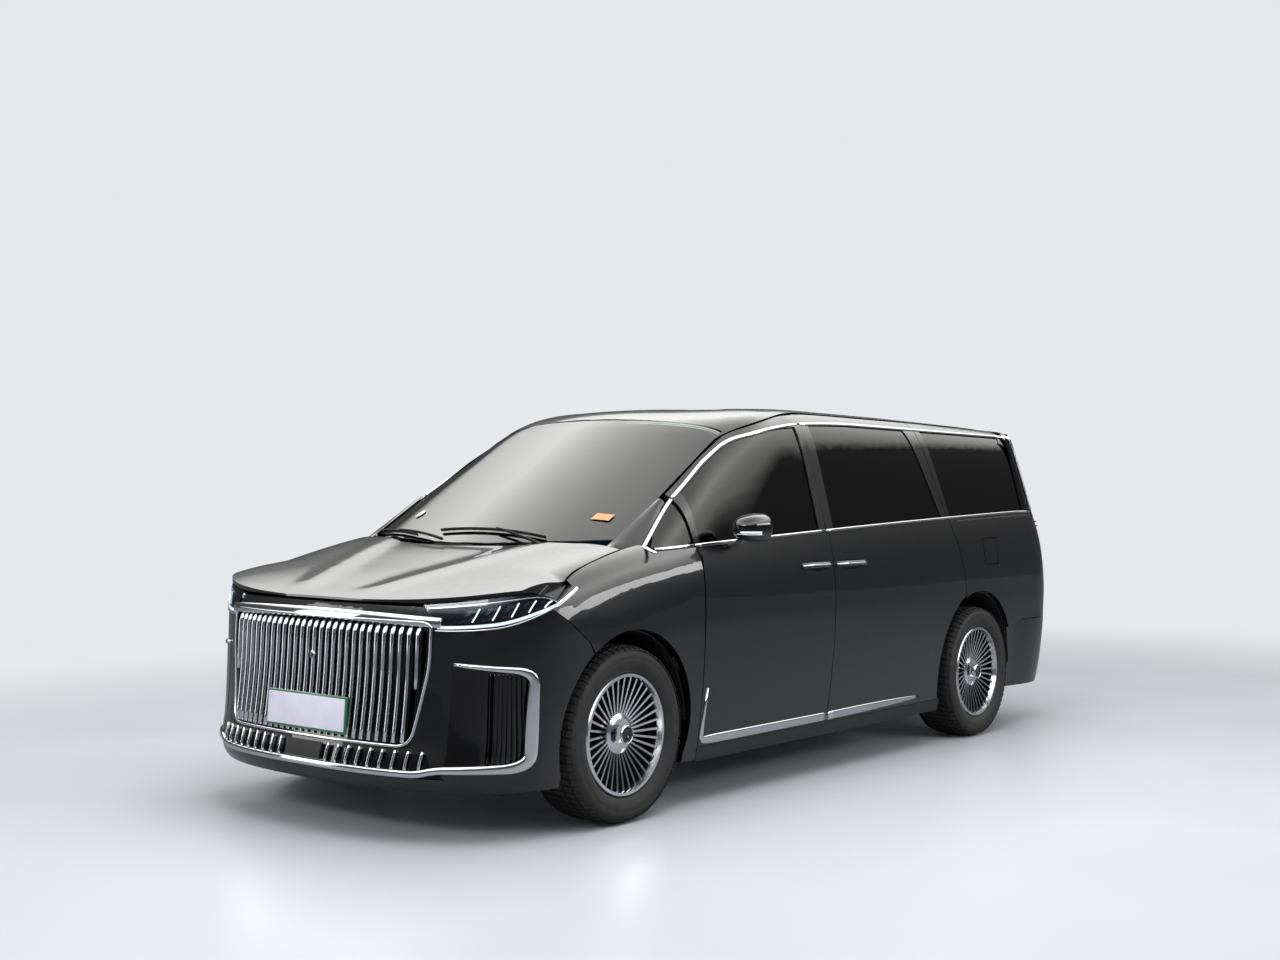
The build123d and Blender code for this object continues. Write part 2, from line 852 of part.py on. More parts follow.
def tail_wall(outer_inset, inner_inset, low_z, high_z, start_y, step=110.0):
    return strip(
        [
            (level(z), tail_arc(z, outer_inset, start_y), tail_arc(z, inner_inset, start_y))
            for z in span(low_z, high_z, step)
        ]
    )


tail_shell = tail_wall(0, gate_wall, rear_bumper_top_z + half_gap, body_height + 5, tail_start_y - 40)
gate_keep = front_block(gate_outline(), tail_start_y - 60, tail_y + 60)
roof_keep = roof_block(tail_start_y - 80, tail_y + 60)
rear_window = [(-640, 1292), (640, 1292), (590, 1668), (-590, 1668)]
rear_window_hole = front_block(rear_window, tail_start_y, tail_y + 60, 40)
gate_skin = shaped(tail_shell, keep=[gate_keep, roof_keep], holes=[rear_window_hole])


def roof_wall(front, rear, start_z, thickness, step=200.0, outer_inset=0.0):
    return strip(
        [
            (
                upright(y),
                cabin_over(y, start_z(y), outer_inset),
                cabin_over(y, start_z(y), outer_inset + thickness),
            )
            for y in span(front, rear, step)
        ]
    )


spoiler_rear_y = tail_y - 178
spoiler = shaped(
    roof_wall(hinge_y + half_gap, spoiler_rear_y, lambda y: door_top_z - 30, frame_wall, 120),
    keep=[front_block(gate_outline(), hinge_y - 50, tail_y + 60)],
)
tailgate = joined(gate_skin, spoiler)
save(tailgate, "tailgate")
rear_glass = shaped(
    tail_wall(glass_inset, glass_inset + glass_wall, 1280, 1680, tail_start_y + 60), keep=[rear_window_hole]
)
save(rear_glass, "rear_glass")
tail_half = plan_block([(0, tail_start_y), (1200, tail_start_y), (1200, tail_y), (0, tail_y)], 100, 2000)
corner_glass = shaped(
    tail_wall(glass_inset, glass_inset + glass_wall, 1260, 1780, tail_start_y),
    keep=[side_block(windows["quarter"]), tail_half],
)
rear_side_glass = joined(quarter_glass, corner_glass)
side_glass = together(*(mirrored(glass) for glass in (quarterlight, slide_glass, rear_side_glass)))
save(side_glass, "side_glass")

quarter_front = rear_axle_y - 450
quarter_keep = side_block(
    [(y + half_gap, z) for y, z in c_post]
    + [(tail_y + 60, body_height), (tail_y + 60, rear_bumper_top_z + half_gap)]
    + [(y, z + half_gap) for y, z in bumper_seam[-2::-1]]
    + [(rear_arch[0] + 300, 560), (rear_arch[0], 400)],
    near=300,
)
quarter_side = joined(
    lower_wall(quarter_front, tail_start_y, gate_wall, 560),
    upper_wall(quarter_front, tail_start_y, 0, frame_wall, shut_z, 300),
)
quarter_corner = shaped(
    tail_shell,
    keep=[roof_keep, tail_half],
    holes=[front_block(gate_outline(shut_gap, gate_swing), tail_start_y - 60, tail_y + 60)],
)


def lamp_block(grow):
    """Tail lamp in rear view, round the corner of the tail."""
    outline = [
        (700, tail_lamp_low_z - grow),
        (1000, tail_lamp_low_z + 20 - grow),
        (1000, tail_lamp_high_z + grow),
        (700, tail_lamp_high_z + grow),
    ]
    return front_block(outline, tail_start_y + 130 - grow, tail_y)


tail_lamp = shaped(quarter_corner, keep=[lamp_block(0)])
save(mirrored(tail_lamp), "tail_lamps")
quarter = shaped(
    joined(quarter_side, quarter_corner),
    keep=[quarter_keep],
    holes=[rear_arch_void, side_block(windows["quarter"]), lamp_block(2 * seat_gap)],
)
flap_front_y = rear_axle_y + 40
flap_low_z, flap_high_z = 985.0, 1130.0
flap_wall = 12.0


def flap_form(grow, outer, inner):
    """Block of the fuel flap that follows the quarter's skin."""
    sections = []
    for y in (flap_front_y - grow, flap_front_y + 80, flap_front_y + 165 + grow):
        heights = [flap_low_z - grow + (flap_high_z - flap_low_z + 2 * grow) * k / 3 for k in range(4)]
        sections.append(
            (
                upright(y),
                [(side_x(y, z) - outer, z) for z in heights],
                [(side_x(y, z) - inner, z) for z in heights],
            )
        )
    return strip(sections)


fuel_flap = flap_form(0, 0, flap_wall)
save(fuel_flap, "fuel_flap")
quarter_left = shaped(quarter, holes=[flap_form(shut_gap, -20, flap_wall + 16)])
save(together(quarter_left, mirror(quarter, about=Plane.YZ)), "quarter_panels")

rear_bumper_keep = side_block(
    [(rear_arch[0], bumper_bottom_z + 40), (rear_arch[0], 500)]
    + [(y, z - half_gap) for y, z in bumper_seam]
    + [(tail_y + 100, bumper_bottom_z + 40)],
    near=-1250,
)
rear_bumper = shaped(
    tail_wall(0, panel_wall, bumper_bottom_z + 40, 660, rear_arch[0] + 300, 90),
    keep=[rear_bumper_keep],
    holes=[rear_arch_void, mirror(rear_arch_void, about=Plane.YZ)],
)
save(rear_bumper, "rear_bumper")

# ---------------------------------------------------------------------------
# Roof with the windscreen pillars, glass roof, windscreen
# ---------------------------------------------------------------------------

pillar_foot_y = screen_corner_y - 52


glass_roof_outline = [
    (-480, header_y + 330),
    (480, header_y + 330),
    (480, rear_axle_y + 180),
    (-480, rear_axle_y + 180),
]
glass_roof_hole = plan_block(glass_roof_outline, 1600, 1900, 60)
screen_hole = plan_block(screen_outline(), 900, 1900)
pillar_keep = side_block(
    [
        (pillar_foot_y, 1500),
        (pillar_foot_y, 1300),
        (screen_corner_y + 6, belt_z(screen_corner_y)),
        (hinge_y - half_gap, belt_z(screen_corner_y)),
        (hinge_y - half_gap, body_height + 60),
        (header_y, body_height + 60),
    ],
    near=-1250,
)
roof = shaped(
    roof_wall(pillar_foot_y, hinge_y - half_gap, lambda y: shut_z(y) + 8, frame_wall, 190),
    keep=[pillar_keep],
    holes=[screen_hole, glass_roof_hole],
)
save(roof, "roof")
glass_roof = shaped(
    roof_wall(header_y + 320, rear_axle_y + 190, lambda y: door_top_z, glass_wall, 400, glass_inset),
    keep=[plan_block(glass_roof_outline, 1600, 1900, 60)],
)
save(glass_roof, "glass_roof")
windscreen = shaped(
    roof_wall(cowl_y - 14, header_y + 130, lambda y: cabin_top(y, 790), glass_wall, 130, glass_inset),
    keep=[plan_block(screen_outline(-1), 900, 1900)],
)
save(windscreen, "windscreen")

# ---------------------------------------------------------------------------
# Body frame behind the doors, floor, bulkhead, wheel liners, sills
# ---------------------------------------------------------------------------

frame_depth = 42.0
rail_height = 55.0          # roof rail under the tops of the windows
frame_front_y = door_front_y + 8
frame_outer = door_wall + inner_gap


def frame_lower():
    sections = []
    for y in span(frame_front_y, tail_start_y - 40, 500):
        low, high = door_bottom_z - half_gap + seat_gap, belt_z(y) + 25
        heights = [low + (high - low) * k / 6 for k in range(7)]
        outer = [(side_x(y, z) - frame_outer, z) for z in heights]
        inner = [(side_x(y, z) - frame_outer - frame_depth, z) for z in heights]
        sections.append((upright(y), outer, inner))
    return strip(sections)


def opening(outline, low_z):
    """A window's outline carried down to the sill."""
    front = min(y for y, z in outline)
    rear = max(y for y, z in outline)
    upper = [(y, z - rail_height) for y, z in outline if z > belt_z(y) + 60]
    return [(front, low_z), (rear, low_z), (rear, belt_z(rear))] + upper + [(front, belt_z(front))]


frame_side = shaped(
    joined(
        frame_lower(),
        upper_wall(
            frame_front_y,
            tail_start_y - 40,
            upper_outer,
            upper_outer + 66,
            lambda y: shut_z(y) - 12,
            step=300,
            below=-36,
        ),
    ),
    holes=[
        side_block(
            opening(window_outline((door_front_y + 110, door_front_y + 110), (b_post_y - 80, b_post_y - 80)), 350)
        ),
        side_block(
            opening(
                window_outline((b_post_y + 90, b_post_y + 90), (rear_axle_y - 470, rear_axle_y - 600)), 350
            )
        ),
        side_block([(y, min(z, arc_z(y) - 9 - rail_height)) for y, z in windows["quarter"]]),
        wheel_arch(rear_arch, rear_arch_radius + 14),
    ],
)
body_frame = mirrored(frame_side)
save(body_frame, "body_frame")

floor_z = 215.0
load_floor_z = 420.0
floor_half = 780.0
with BuildPart() as floor_pan:
    step_y = rear_axle_y - 520
    with BuildSketch(Plane.YZ.offset(-floor_half)):
        with BuildLine():
            Polyline(
                (bulkhead_back_y + seat_gap, floor_z),
                (step_y + 30, floor_z),
                (step_y + 30, load_floor_z),
                (tail_y - 190, load_floor_z),
                (tail_y - 190, load_floor_z + 30),
                (step_y, load_floor_z + 30),
                (step_y, floor_z + 30),
                (bulkhead_back_y + seat_gap, floor_z + 30),
                close=True,
            )
        make_face()
    extrude(amount=2 * floor_half)
    for hand in (-1, 1):
        with BuildSketch(Plane.YZ.offset(hand * floor_half)):
            with Locations(rear_arch):
                Circle(rear_arch_radius + seat_gap)
        extrude(amount=-hand * 240, mode=Mode.SUBTRACT)
save(floor_pan.part, "floor_pan")

with BuildPart() as bulkhead:
    with BuildSketch(Plane.YZ.offset(-760)):
        with BuildLine():
            Polyline(
                (bulkhead_front_y, floor_z),
                (bulkhead_back_y, floor_z),
                (bulkhead_back_y, 1000),
                (cowl_y + 330, 1075),
                (cowl_y - 30, 1085),
                (cowl_y - 30, 1065),
                (cowl_y + 300, 1055),
                (bulkhead_front_y, 980),
                close=True,
            )
        make_face()
    extrude(amount=1520)
    with BuildSketch(Plane.XY.offset(1070)):
        with Locations((0, cowl_y - 8)):
            Rectangle(240, 16)
    extrude(amount=68)
save(bulkhead.part, "bulkhead")


def liner(arch, radius, inner_x, outer_x, axle_y):
    """Half-round liner over a wheel, closed on its inner side but for the hub."""
    with BuildPart() as half:
        with BuildSketch(Plane.YZ.offset(inner_x)):
            with Locations(arch):
                Circle(radius)
            with Locations((arch[0], (arch[1] - radius) / 2)):
                Rectangle(3 * radius, arch[1] + radius, mode=Mode.SUBTRACT)
        extrude(amount=outer_x - inner_x)
        with BuildSketch(Plane.YZ.offset(inner_x + 8)):
            with Locations(arch):
                Circle(radius - 8)
        extrude(amount=outer_x - inner_x, mode=Mode.SUBTRACT)
        with BuildSketch(Plane.YZ.offset(inner_x)):
            with Locations((axle_y, tyre_radius)):
                Circle(80)
        extrude(amount=20, mode=Mode.SUBTRACT)
    return half.part


liners = [
    liner(front_arch, front_arch_radius - seat_gap, 490, 935, front_axle_y),
    liner(rear_arch, rear_arch_radius - seat_gap, 560, 952, rear_axle_y),
]
save(together(*(mirrored(part) for part in liners)), "wheel_liners")

sill_sections = []
for y in span(door_front_y + half_gap, rear_arch[0] - 415, 500):
    rise = door_bottom_z - half_gap - bumper_bottom_z + 8
    heights = [bumper_bottom_z - 8 + rise * k / 3 for k in range(4)]
    sill_sections.append(
        (upright(y), [(side_x(y, z), z) for z in heights], [(floor_half + seat_gap, z) for z in heights])
    )
save(mirrored(strip(sill_sections)), "sills")

# ---------------------------------------------------------------------------
# Running gear
# ---------------------------------------------------------------------------

side = tyre_width / 2
bead = rim_radius - 6
with BuildPart() as tyre_form:
    with BuildSketch(Plane.XY):
        with BuildLine():
            left_wall = [(-side + 2, bead + 30), (-side, bead + 62), (-side + 8, tyre_radius - 26)]
            tread = [(-side + 26, tyre_radius - 6), (0, tyre_radius), (side - 26, tyre_radius - 6)]
            Line((-side + 22, bead), left_wall[0])
            Spline(left_wall + tread[:1])
            Spline(tread)
            Spline(tread[-1:] + [(-x, y) for x, y in reversed(left_wall)])
            Polyline((side - 2, bead + 30), (side - 22, bead), (-side + 22, bead))
        make_face()
    revolve(axis=Axis.X)
    with BuildSketch(Plane.XY):
        with Locations(*((x, tyre_radius) for x in (-66, -22, 22, 66))):
            Rectangle(9, 16)
    revolve(axis=Axis.X, mode=Mode.SUBTRACT)

rim_seat = bead - seat_gap
rim_face_x = 112.0
spoke_root = 78.0
with BuildPart() as rim_form:
    with BuildSketch(Plane.XY):
        with BuildLine():
            Polyline(
                (-104, rim_seat),
                (rim_face_x - 8, rim_seat),
                (rim_face_x, rim_seat - 6),
                (rim_face_x, rim_seat - 18),
                (rim_face_x - 24, rim_seat - 26),
                (-104, rim_seat - 18),
                close=True,
            )
        make_face()
        with BuildLine():
            Polyline(
                (-52, 0), (-52, 80), (40, 86), (70, 84), (78, 66), (78, 36), (66, 32), (66, 0), close=True
            )
        make_face()
    revolve(axis=Axis.X)
    with BuildSketch(Plane.XY.offset(-4.5)) as spoke_profile:
        with BuildLine():
            Polyline(
                (34, spoke_root),
                (70, spoke_root),
                (rim_face_x - 14, rim_seat - 20),
                (rim_face_x - 54, rim_seat - 20),
                close=True,
            )
        make_face()
    spoke = extrude(amount=9, mode=Mode.PRIVATE)
    for number in range(spoke_count):
        add(spoke.rotate(Axis.X, 360 * number / spoke_count))

wheels = {
    "front_left": (track_half, front_axle_y, 0),
    "front_right": (-track_half, front_axle_y, 180),
    "rear_left": (track_half, rear_axle_y, 0),
    "rear_right": (-track_half, rear_axle_y, 180),
}
for corner, (x, y, turn) in wheels.items():
    place = Pos(x, y, tyre_radius) * Rot(0, 0, turn)
    save(place * tyre_form.part, f"tyre_{corner}")
    save(place * rim_form.part, f"rim_{corner}")

hub_back_x = track_half - 52 - seat_gap
with BuildPart() as knuckle:
    with BuildSketch(Plane.YZ.offset(hub_back_x - 70)):
        with Locations((front_axle_y, tyre_radius)):
            Circle(62)
    extrude(amount=70)
    with BuildSketch(Plane.XY.offset(tyre_radius - 150)):
        with Locations((hub_back_x - 50, front_axle_y)):
            RectangleRounded(40, 70, 12)
    extrude(amount=300)
for name, part in (("left", knuckle.part), ("right", mirror(knuckle.part, about=Plane.YZ))):
    save(part, f"knuckle_{name}")

arm_z = tyre_radius - 150 - seat_gap
rail_x = 420.0
with BuildPart() as front_subframe:
    for side_sign in (-1, 1):
        with BuildSketch(Plane.XZ.offset(-(bulkhead_front_y - seat_gap))):
            with Locations((side_sign * rail_x, 250)):
                RectangleRounded(64, 90, 10)
        extrude(amount=bulkhead_front_y - seat_gap - (nose_y + 190))
        with BuildSketch(Plane.XY.offset(arm_z - 22)):
            with BuildLine():
                reach = side_sign * (hub_back_x - 30)
                root = side_sign * (rail_x + 20)
                Polyline(
                    (root, front_axle_y - 60),
                    (reach, front_axle_y - 34),
                    (reach, front_axle_y + 34),
                    (root, front_axle_y + 230),
                    (root, front_axle_y + 150),
                    (side_sign * (rail_x + 150), front_axle_y + 20),
                    (root, front_axle_y + 10),
                    close=True,
                )
            make_face()
        extrude(amount=22)
    for y in (front_axle_y - 120, front_axle_y + 190):
        with BuildSketch(Plane.XZ.offset(-y)):
            with Locations((0, 240)):
                Rectangle(2 * rail_x, 60)
        extrude(amount=70)
    with BuildSketch(Plane.XZ.offset(-(nose_y + 230))):
        with Locations((0, 470)):
            RectangleRounded(1100, 110, 20)
    extrude(amount=50)
    for side_sign in (-1, 1):
        with BuildSketch(Plane.XY.offset(270)):
            with Locations((side_sign * rail_x, nose_y + 215)):
                Rectangle(60, 50)
        extrude(amount=180)
save(front_subframe.part, "front_subframe")

with BuildPart() as rear_axle:
    with BuildSketch(Plane.YZ.offset(-620)):
        with Locations((rear_axle_y, tyre_radius - 30)):
            RectangleRounded(90, 110, 20)
    extrude(amount=1240)
    for side_sign in (-1, 1):
        with BuildSketch(Plane.YZ.offset(side_sign * 600)):
            with Locations((rear_axle_y, tyre_radius)):
                Circle(62)
        extrude(amount=side_sign * (hub_back_x - 600))
        with BuildSketch(Plane.YZ.offset(side_sign * 560 - 24)):
            with BuildLine():
                Polyline(
                    (rear_axle_y - 30, tyre_radius - 70),
                    (rear_axle_y - 30, tyre_radius),
                    (step_y + 30 + seat_gap, floor_z + 100),
                    (step_y + 30 + seat_gap, floor_z + 40),
                    close=True,
                )
            make_face()
        extrude(amount=48)
save(rear_axle.part, "rear_axle")

with BuildPart() as engine:
    with BuildSketch(Plane.XY.offset(300)):
        with Locations((0, front_axle_y - 60)):
            RectangleRounded(740, 560, 60)
    extrude(amount=520)

with BuildPart() as radiator:
    with BuildSketch(Plane.XZ.offset(-(nose_y + 262))):
        with Locations((0, 585)):
            Rectangle(780, 500)
    extrude(amount=32 - seat_gap)
save(together(engine.part, radiator.part), "engine_and_radiator")

# ---------------------------------------------------------------------------
# Cabin: dashboard, steering wheel, seats
# ---------------------------------------------------------------------------

dash_y = door_front_y + 90
with BuildPart() as dashboard:
    with BuildSketch(Plane.YZ.offset(-740)):
        with BuildLine():
            Spline([(cowl_y + 345, 1082), (cowl_y + 520, 1094), (dash_y - 40, 1090), (dash_y + 90, 1064),
                    (dash_y + 130, 1000)])
            Polyline(
                (dash_y + 130, 1000),
                (dash_y + 90, 900),
                (dash_y + 20, 640),
                (dash_y - 30, 620),
                (bulkhead_back_y + seat_gap, 900),
                (bulkhead_back_y + seat_gap, 1004),
                (cowl_y + 345, 1082),
            )
        make_face()
    extrude(amount=1480)

wheel_centre = (370.0, dash_y + 330, 985.0)
wheel_tilt = 24.0
wheel_axis = (0, math.cos(math.radians(wheel_tilt)), math.sin(math.radians(wheel_tilt)))
wheel_plane = Plane(origin=wheel_centre, x_dir=(1, 0, 0), z_dir=wheel_axis)
with BuildPart() as steering_wheel:
    with BuildSketch(Plane(origin=wheel_plane.origin, x_dir=wheel_plane.x_dir, z_dir=wheel_plane.z_dir)):
        Circle(62)
    extrude(amount=-36)
    with BuildSketch(wheel_plane.offset(-14)):
        with Locations((0, 0)):
            Rectangle(350, 34)
        with Locations((0, -90)):
            Rectangle(40, 180)
    extrude(amount=-12)
    with BuildSketch(Plane(origin=wheel_plane.origin, x_dir=wheel_plane.z_dir, z_dir=wheel_plane.x_dir)):
        with Locations((-18, 182)):
            Circle(16)
    revolve(axis=Axis(wheel_plane.origin, wheel_plane.z_dir))
save(steering_wheel.part, "steering_wheel")

column_end = wheel_plane.offset(-36 - seat_gap)
with BuildPart() as column:
    with BuildSketch(column_end):
        Circle(30)
    extrude(amount=-240)
save(joined(dashboard.part, column.part), "dashboard")


def seat(x, y, width, back_rake=0.32):
    """A cushion, a raked back and a headrest on a plinth."""
    with BuildPart() as base:
        with BuildSketch(Plane.XY.offset(floor_z + 30)):
            with Locations((x, y)):
                RectangleRounded(width - 100, 420, 30)
        extrude(amount=150)
        with BuildSketch(Plane.XY.offset(floor_z + 180)):
            with Locations((x, y)):
                RectangleRounded(width, 540, 60)
        extrude(amount=150)
        with BuildSketch(Plane.YZ.offset(x - width / 2 + 10)):
            with BuildLine():
                low, high = floor_z + 300, floor_z + 960
                lean = back_rake * (high - low)
                Polyline(
                    (y + 170, low),
                    (y + 300, low - 60),
                    (y + 300 + lean, high),
                    (y + 200 + lean, high),
                    close=True,
                )
            make_face()
        extrude(amount=width - 20)
        with BuildSketch(Plane.XY.offset(high - 20)):
            with Locations((x, y + 250 + lean)):
                RectangleRounded(280, 100, 40)
        extrude(amount=190)
    return base.part


front_row_y = dash_y + 640
middle_row_y = b_post_y + 620
rear_row_y = rear_axle_y - 60
save(together(seat(370, front_row_y, 540), seat(-370, front_row_y, 540)), "front_seats")
with BuildPart() as rear_bench:
    with BuildSketch(Plane.YZ.offset(-540)):
        with BuildLine():
            bench_z = load_floor_z + 30
            Polyline(
                (rear_row_y - 240, bench_z),
                (rear_row_y - 260, bench_z + 190),
                (rear_row_y + 170, bench_z + 170),
                (rear_row_y + 330, bench_z + 700),
                (rear_row_y + 430, bench_z + 690),
                (rear_row_y + 290, bench_z),
                close=True,
            )
        make_face()
    extrude(amount=1080)
save(together(seat(400, middle_row_y, 600), seat(-400, middle_row_y, 600), rear_bench.part), "rear_seats")

mirror_x = half_width + 62
mirror_y = door_front_y + 215
mirror_z = 1212.0
with BuildPart() as door_mirror:
    with BuildSketch(Plane.YZ.offset(mirror_x - 92)):
        with Locations((mirror_y + 12, mirror_z)):
            RectangleRounded(120, 130, 40)
    with BuildSketch(Plane.YZ.offset(mirror_x)):
        with Locations((mirror_y, mirror_z)):
            RectangleRounded(170, 150, 50)
    with BuildSketch(Plane.YZ.offset(mirror_x + 92)):
        with Locations((mirror_y + 16, mirror_z)):
            RectangleRounded(110, 120, 40)
    loft()
    with BuildSketch(Plane.XY.offset(1120)):
        with Locations((side_x(mirror_y, 1120) + 31, mirror_y + 10)):
            RectangleRounded(60, 80, 20)
    extrude(amount=40)
for name, part in (("left", door_mirror.part), ("right", mirror(door_mirror.part, about=Plane.YZ))):
    save(part, f"mirror_{name}")
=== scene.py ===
# %% [markdown]
# # A luxury minivan, finished in Blender
# The body, doors, glass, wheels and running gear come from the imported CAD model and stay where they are.
# This script gives them their real finishes and adds the bright trim, lamps, tyres, seats and fittings.
# Everything is in metres, front at -Y, the vehicle's left at +X, the floor at Z = 0.

# %% Load the fixed frame
import math

import bmesh
import bpy
import numpy as np
from mathutils import Matrix, Vector


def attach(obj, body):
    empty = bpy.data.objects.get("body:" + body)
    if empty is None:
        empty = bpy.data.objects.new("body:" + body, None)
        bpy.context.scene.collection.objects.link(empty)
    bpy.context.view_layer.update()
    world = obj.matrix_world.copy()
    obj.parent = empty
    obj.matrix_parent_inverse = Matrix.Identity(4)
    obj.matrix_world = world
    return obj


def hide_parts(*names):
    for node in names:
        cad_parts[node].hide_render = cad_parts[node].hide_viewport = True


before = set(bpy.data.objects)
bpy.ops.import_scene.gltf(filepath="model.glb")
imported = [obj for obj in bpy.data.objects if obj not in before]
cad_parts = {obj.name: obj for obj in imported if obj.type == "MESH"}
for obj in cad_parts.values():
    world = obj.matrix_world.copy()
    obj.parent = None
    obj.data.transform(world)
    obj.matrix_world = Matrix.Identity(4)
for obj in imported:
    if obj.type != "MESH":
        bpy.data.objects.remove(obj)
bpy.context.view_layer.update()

# %% [markdown]
# ## The body's surface as formulas
# Trim on a car follows the panels, so it needs the panels' own surface. The body was drawn from a few tables
# joined by smooth curves; the same tables are read here, in millimetres, so that a strip of chrome or a lamp
# lens can be laid exactly on the skin. Snapping to the mesh would work too, but would copy its facets.

# %% Tables and how they are read
nose_y, tail_y = -2657.5, 2657.5
front_axle_y, rear_axle_y = -1722.5, 1477.5
door_front_y = -1222.0
lamp_tip_y = -2052.5
tail_start_y = 2157.5
tyre_radius = 369.0
track_half = 841.0

levels = [
    (170, 930, 62, 110), (272, 950, 9, 60), (400, 966, 42, 20), (620, 984, 70, 0), (850, 992, 84, 16),
    (1000, 983, 130, 32), (1150, 956, 190, 52), (1300, 912, 260, 84), (1500, 861, 350, 140),
    (1700, 810, 440, 215), (1830, 777, 500, 265),
]
bonnet_line = [
    (-2667.5, 868), (-2560.5, 930), (-2400.5, 985), (-2100.5, 1066),
    (-1800.5, 1140), (-1640.5, 1172), (-1102.5, 1255),
]
arc_line = [(-1560.5, 1110), (-1155.5, 1388), (-662.5, 1644), (-65.5, 1731), (397.5, 1744), (2177.5, 1744)]
lamp_line = [(-2717.5, 822), (-2522.5, 822), (-2400.5, 838), (-2250.5, 893), (lamp_tip_y, 996)]


def smooth(table, place, column=1):
    """Value at a place of a table, joined by monotone cubics."""
    spans = [(b[column] - a[column]) / (b[0] - a[0]) for a, b in zip(table, table[1:])]
    slopes = [spans[0]]
    for before, after in zip(spans, spans[1:]):
        slopes.append(2 * before * after / (before + after) if before * after > 0 else 0.0)
    slopes.append(spans[-1])
    place = min(max(place, table[0][0]), table[-1][0])
    row = 0
    while row < len(table) - 2 and place > table[row + 1][0]:
        row += 1
    start, end = table[row], table[row + 1]
    step = end[0] - start[0]
    t = (place - start[0]) / step
    return (
        (1 + 2 * t) * (1 - t) ** 2 * start[column]
        + t * (1 - t) ** 2 * step * slopes[row]
        + t * t * (3 - 2 * t) * end[column]
        + t * t * (t - 1) * step * slopes[row + 1]
    )


def steps(start, end, count):
    """Evenly spaced numbers from start to end."""
    return [start + (end - start) * k / count for k in range(count + 1)]


def barrel(y):
    """How much the sides draw in towards the ends."""
    return 1 - 0.012 * (y / tail_y) ** 2


# %% The skin's surface
def side_x(y, z):
    """Half width of the body at a place and a height."""
    width = smooth(levels, z)
    if y < nose_y + 650:
        depth = 650 - smooth(levels, z, 2)
        width *= max(1 - min((nose_y + 650 - y) / depth, 1.0) ** 2.6, 0.0) ** (1 / 2.6)
    if y > tail_start_y:
        depth = 500 - smooth(levels, z, 3)
        width *= max(1 - min((y - tail_start_y) / depth, 1.0) ** 3, 0.0) ** (1 / 3)
    return width * barrel(y)


def nose_at(x, z):
    """Place along the length of the nose's skin."""
    share = min(abs(x) / smooth(levels, z), 0.999)
    return nose_y + 650 - (650 - smooth(levels, z, 2)) * (1 - share**2.6) ** (1 / 2.6)


def tail_at(x, z):
    """Place along the length of the tail's skin."""
    share = min(abs(x) / smooth(levels, z), 0.999)
    return tail_start_y + (500 - smooth(levels, z, 3)) * (1 - share**3) ** (1 / 3)


def bonnet_z(x, y):
    """Height of the bonnet."""
    width = side_x(max(y, lamp_tip_y), 950)
    share = (1 - min(abs(x) / width, 0.999) ** 8) ** (1 / 8)
    return 500 + (smooth(bonnet_line, y) - 8 * (x / 680) ** 2 - 500) * share


def belt_z(y):
    """Height of the belt line."""
    share = min(max((y - (front_axle_y + 130)) / 3670, 0.0), 1.0)
    return 1118 + 159 * (1.25 * share - 0.25 * share**2)


def arc_z(y):
    """Height of the bright arc over the windows."""
    return smooth(arc_line, y)


cabin_line = [
    (-1900, 1085.4, 93, 10.0), (-1300, 1449.8, 93, 10.0), (-950, 1662.4, 93, 10.0), (-819, 1740, 90, 10.0),
    (-700, 1774, 74, 10.5), (-600, 1791, 48, 11.0), (-450, 1805, 24, 12.0), (-250, 1814, 14, 12.5),
    (50, 1820, 10, 12.5), (781, 1819, 10, 12.5), (1277.5, 1814, 10, 12.5), (1997.5, 1804, 10, 12.5),
    (2717.5, 1780, 10, 12.5),
]


def cabin_x(y, z):
    """Half width of the cabin at a height over the belt line."""
    top, drop, power = (smooth(cabin_line, y, column) for column in (1, 2, 3))
    low, high = 0.0, 90.0
    for _ in range(30):
        angle = math.radians((low + high) / 2)
        rise = math.sin(angle) ** (2 / power)
        x = (935 - 0.255 * (900 + (top - 900) * rise - 1200)) * math.cos(angle) ** (2 / power)
        if 900 + (top - drop * (x / 680) ** 2 - 900) * rise < z:
            low = math.degrees(angle)
        else:
            high = math.degrees(angle)
    return x * barrel(y)


def cabin_top(y, x):
    """Height of the windscreen and the roof."""
    top, drop, power = (smooth(cabin_line, y, column) for column in (1, 2, 3))
    full = top - drop * (x / 680) ** 2
    z = full
    for _ in range(12):
        share = min(abs(x) / (935 - 0.255 * (z - 1200)), 0.995)
        z = 900 + (full - 900) * (1 - share**power) ** (1 / power)
    return z


def skin_x(y, z):
    """Half width of the body or, over the belt line, of the cabin."""
    if z > belt_z(y) and y < tail_start_y:
        return cabin_x(y, z)
    return side_x(y, z)


print("half width at the front door", round(skin_x(-700, 850)), "mm")

# %% [markdown]
# ## Small builders
# Most trim is one of three shapes: a sheet of points laid on the skin, a strip swept along a line on the
# skin, or a turned ring. Each builder takes millimetres, makes a closed mesh in metres with outward faces,
# and lets it ride on a body. Blender's own curves with a bevel could make the strips, but they twist on a
# doubly curved panel; here the strip's back is held flat to the skin by the skin's own direction.

# %% Mesh from points
def piece(name, body, points, faces, finish):
    """A mesh object, in metres, that rides on a body, or on none yet."""
    mesh = bpy.data.meshes.new(name)
    mesh.from_pydata([tuple(c / 1000 for c in p) for p in points], [], faces)
    mesh.materials.append(finish)
    mesh.validate()
    mesh.shade_smooth()
    made = bpy.data.objects.new(name, mesh)
    bpy.context.scene.collection.objects.link(made)
    if body:
        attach(made, body)
    return made


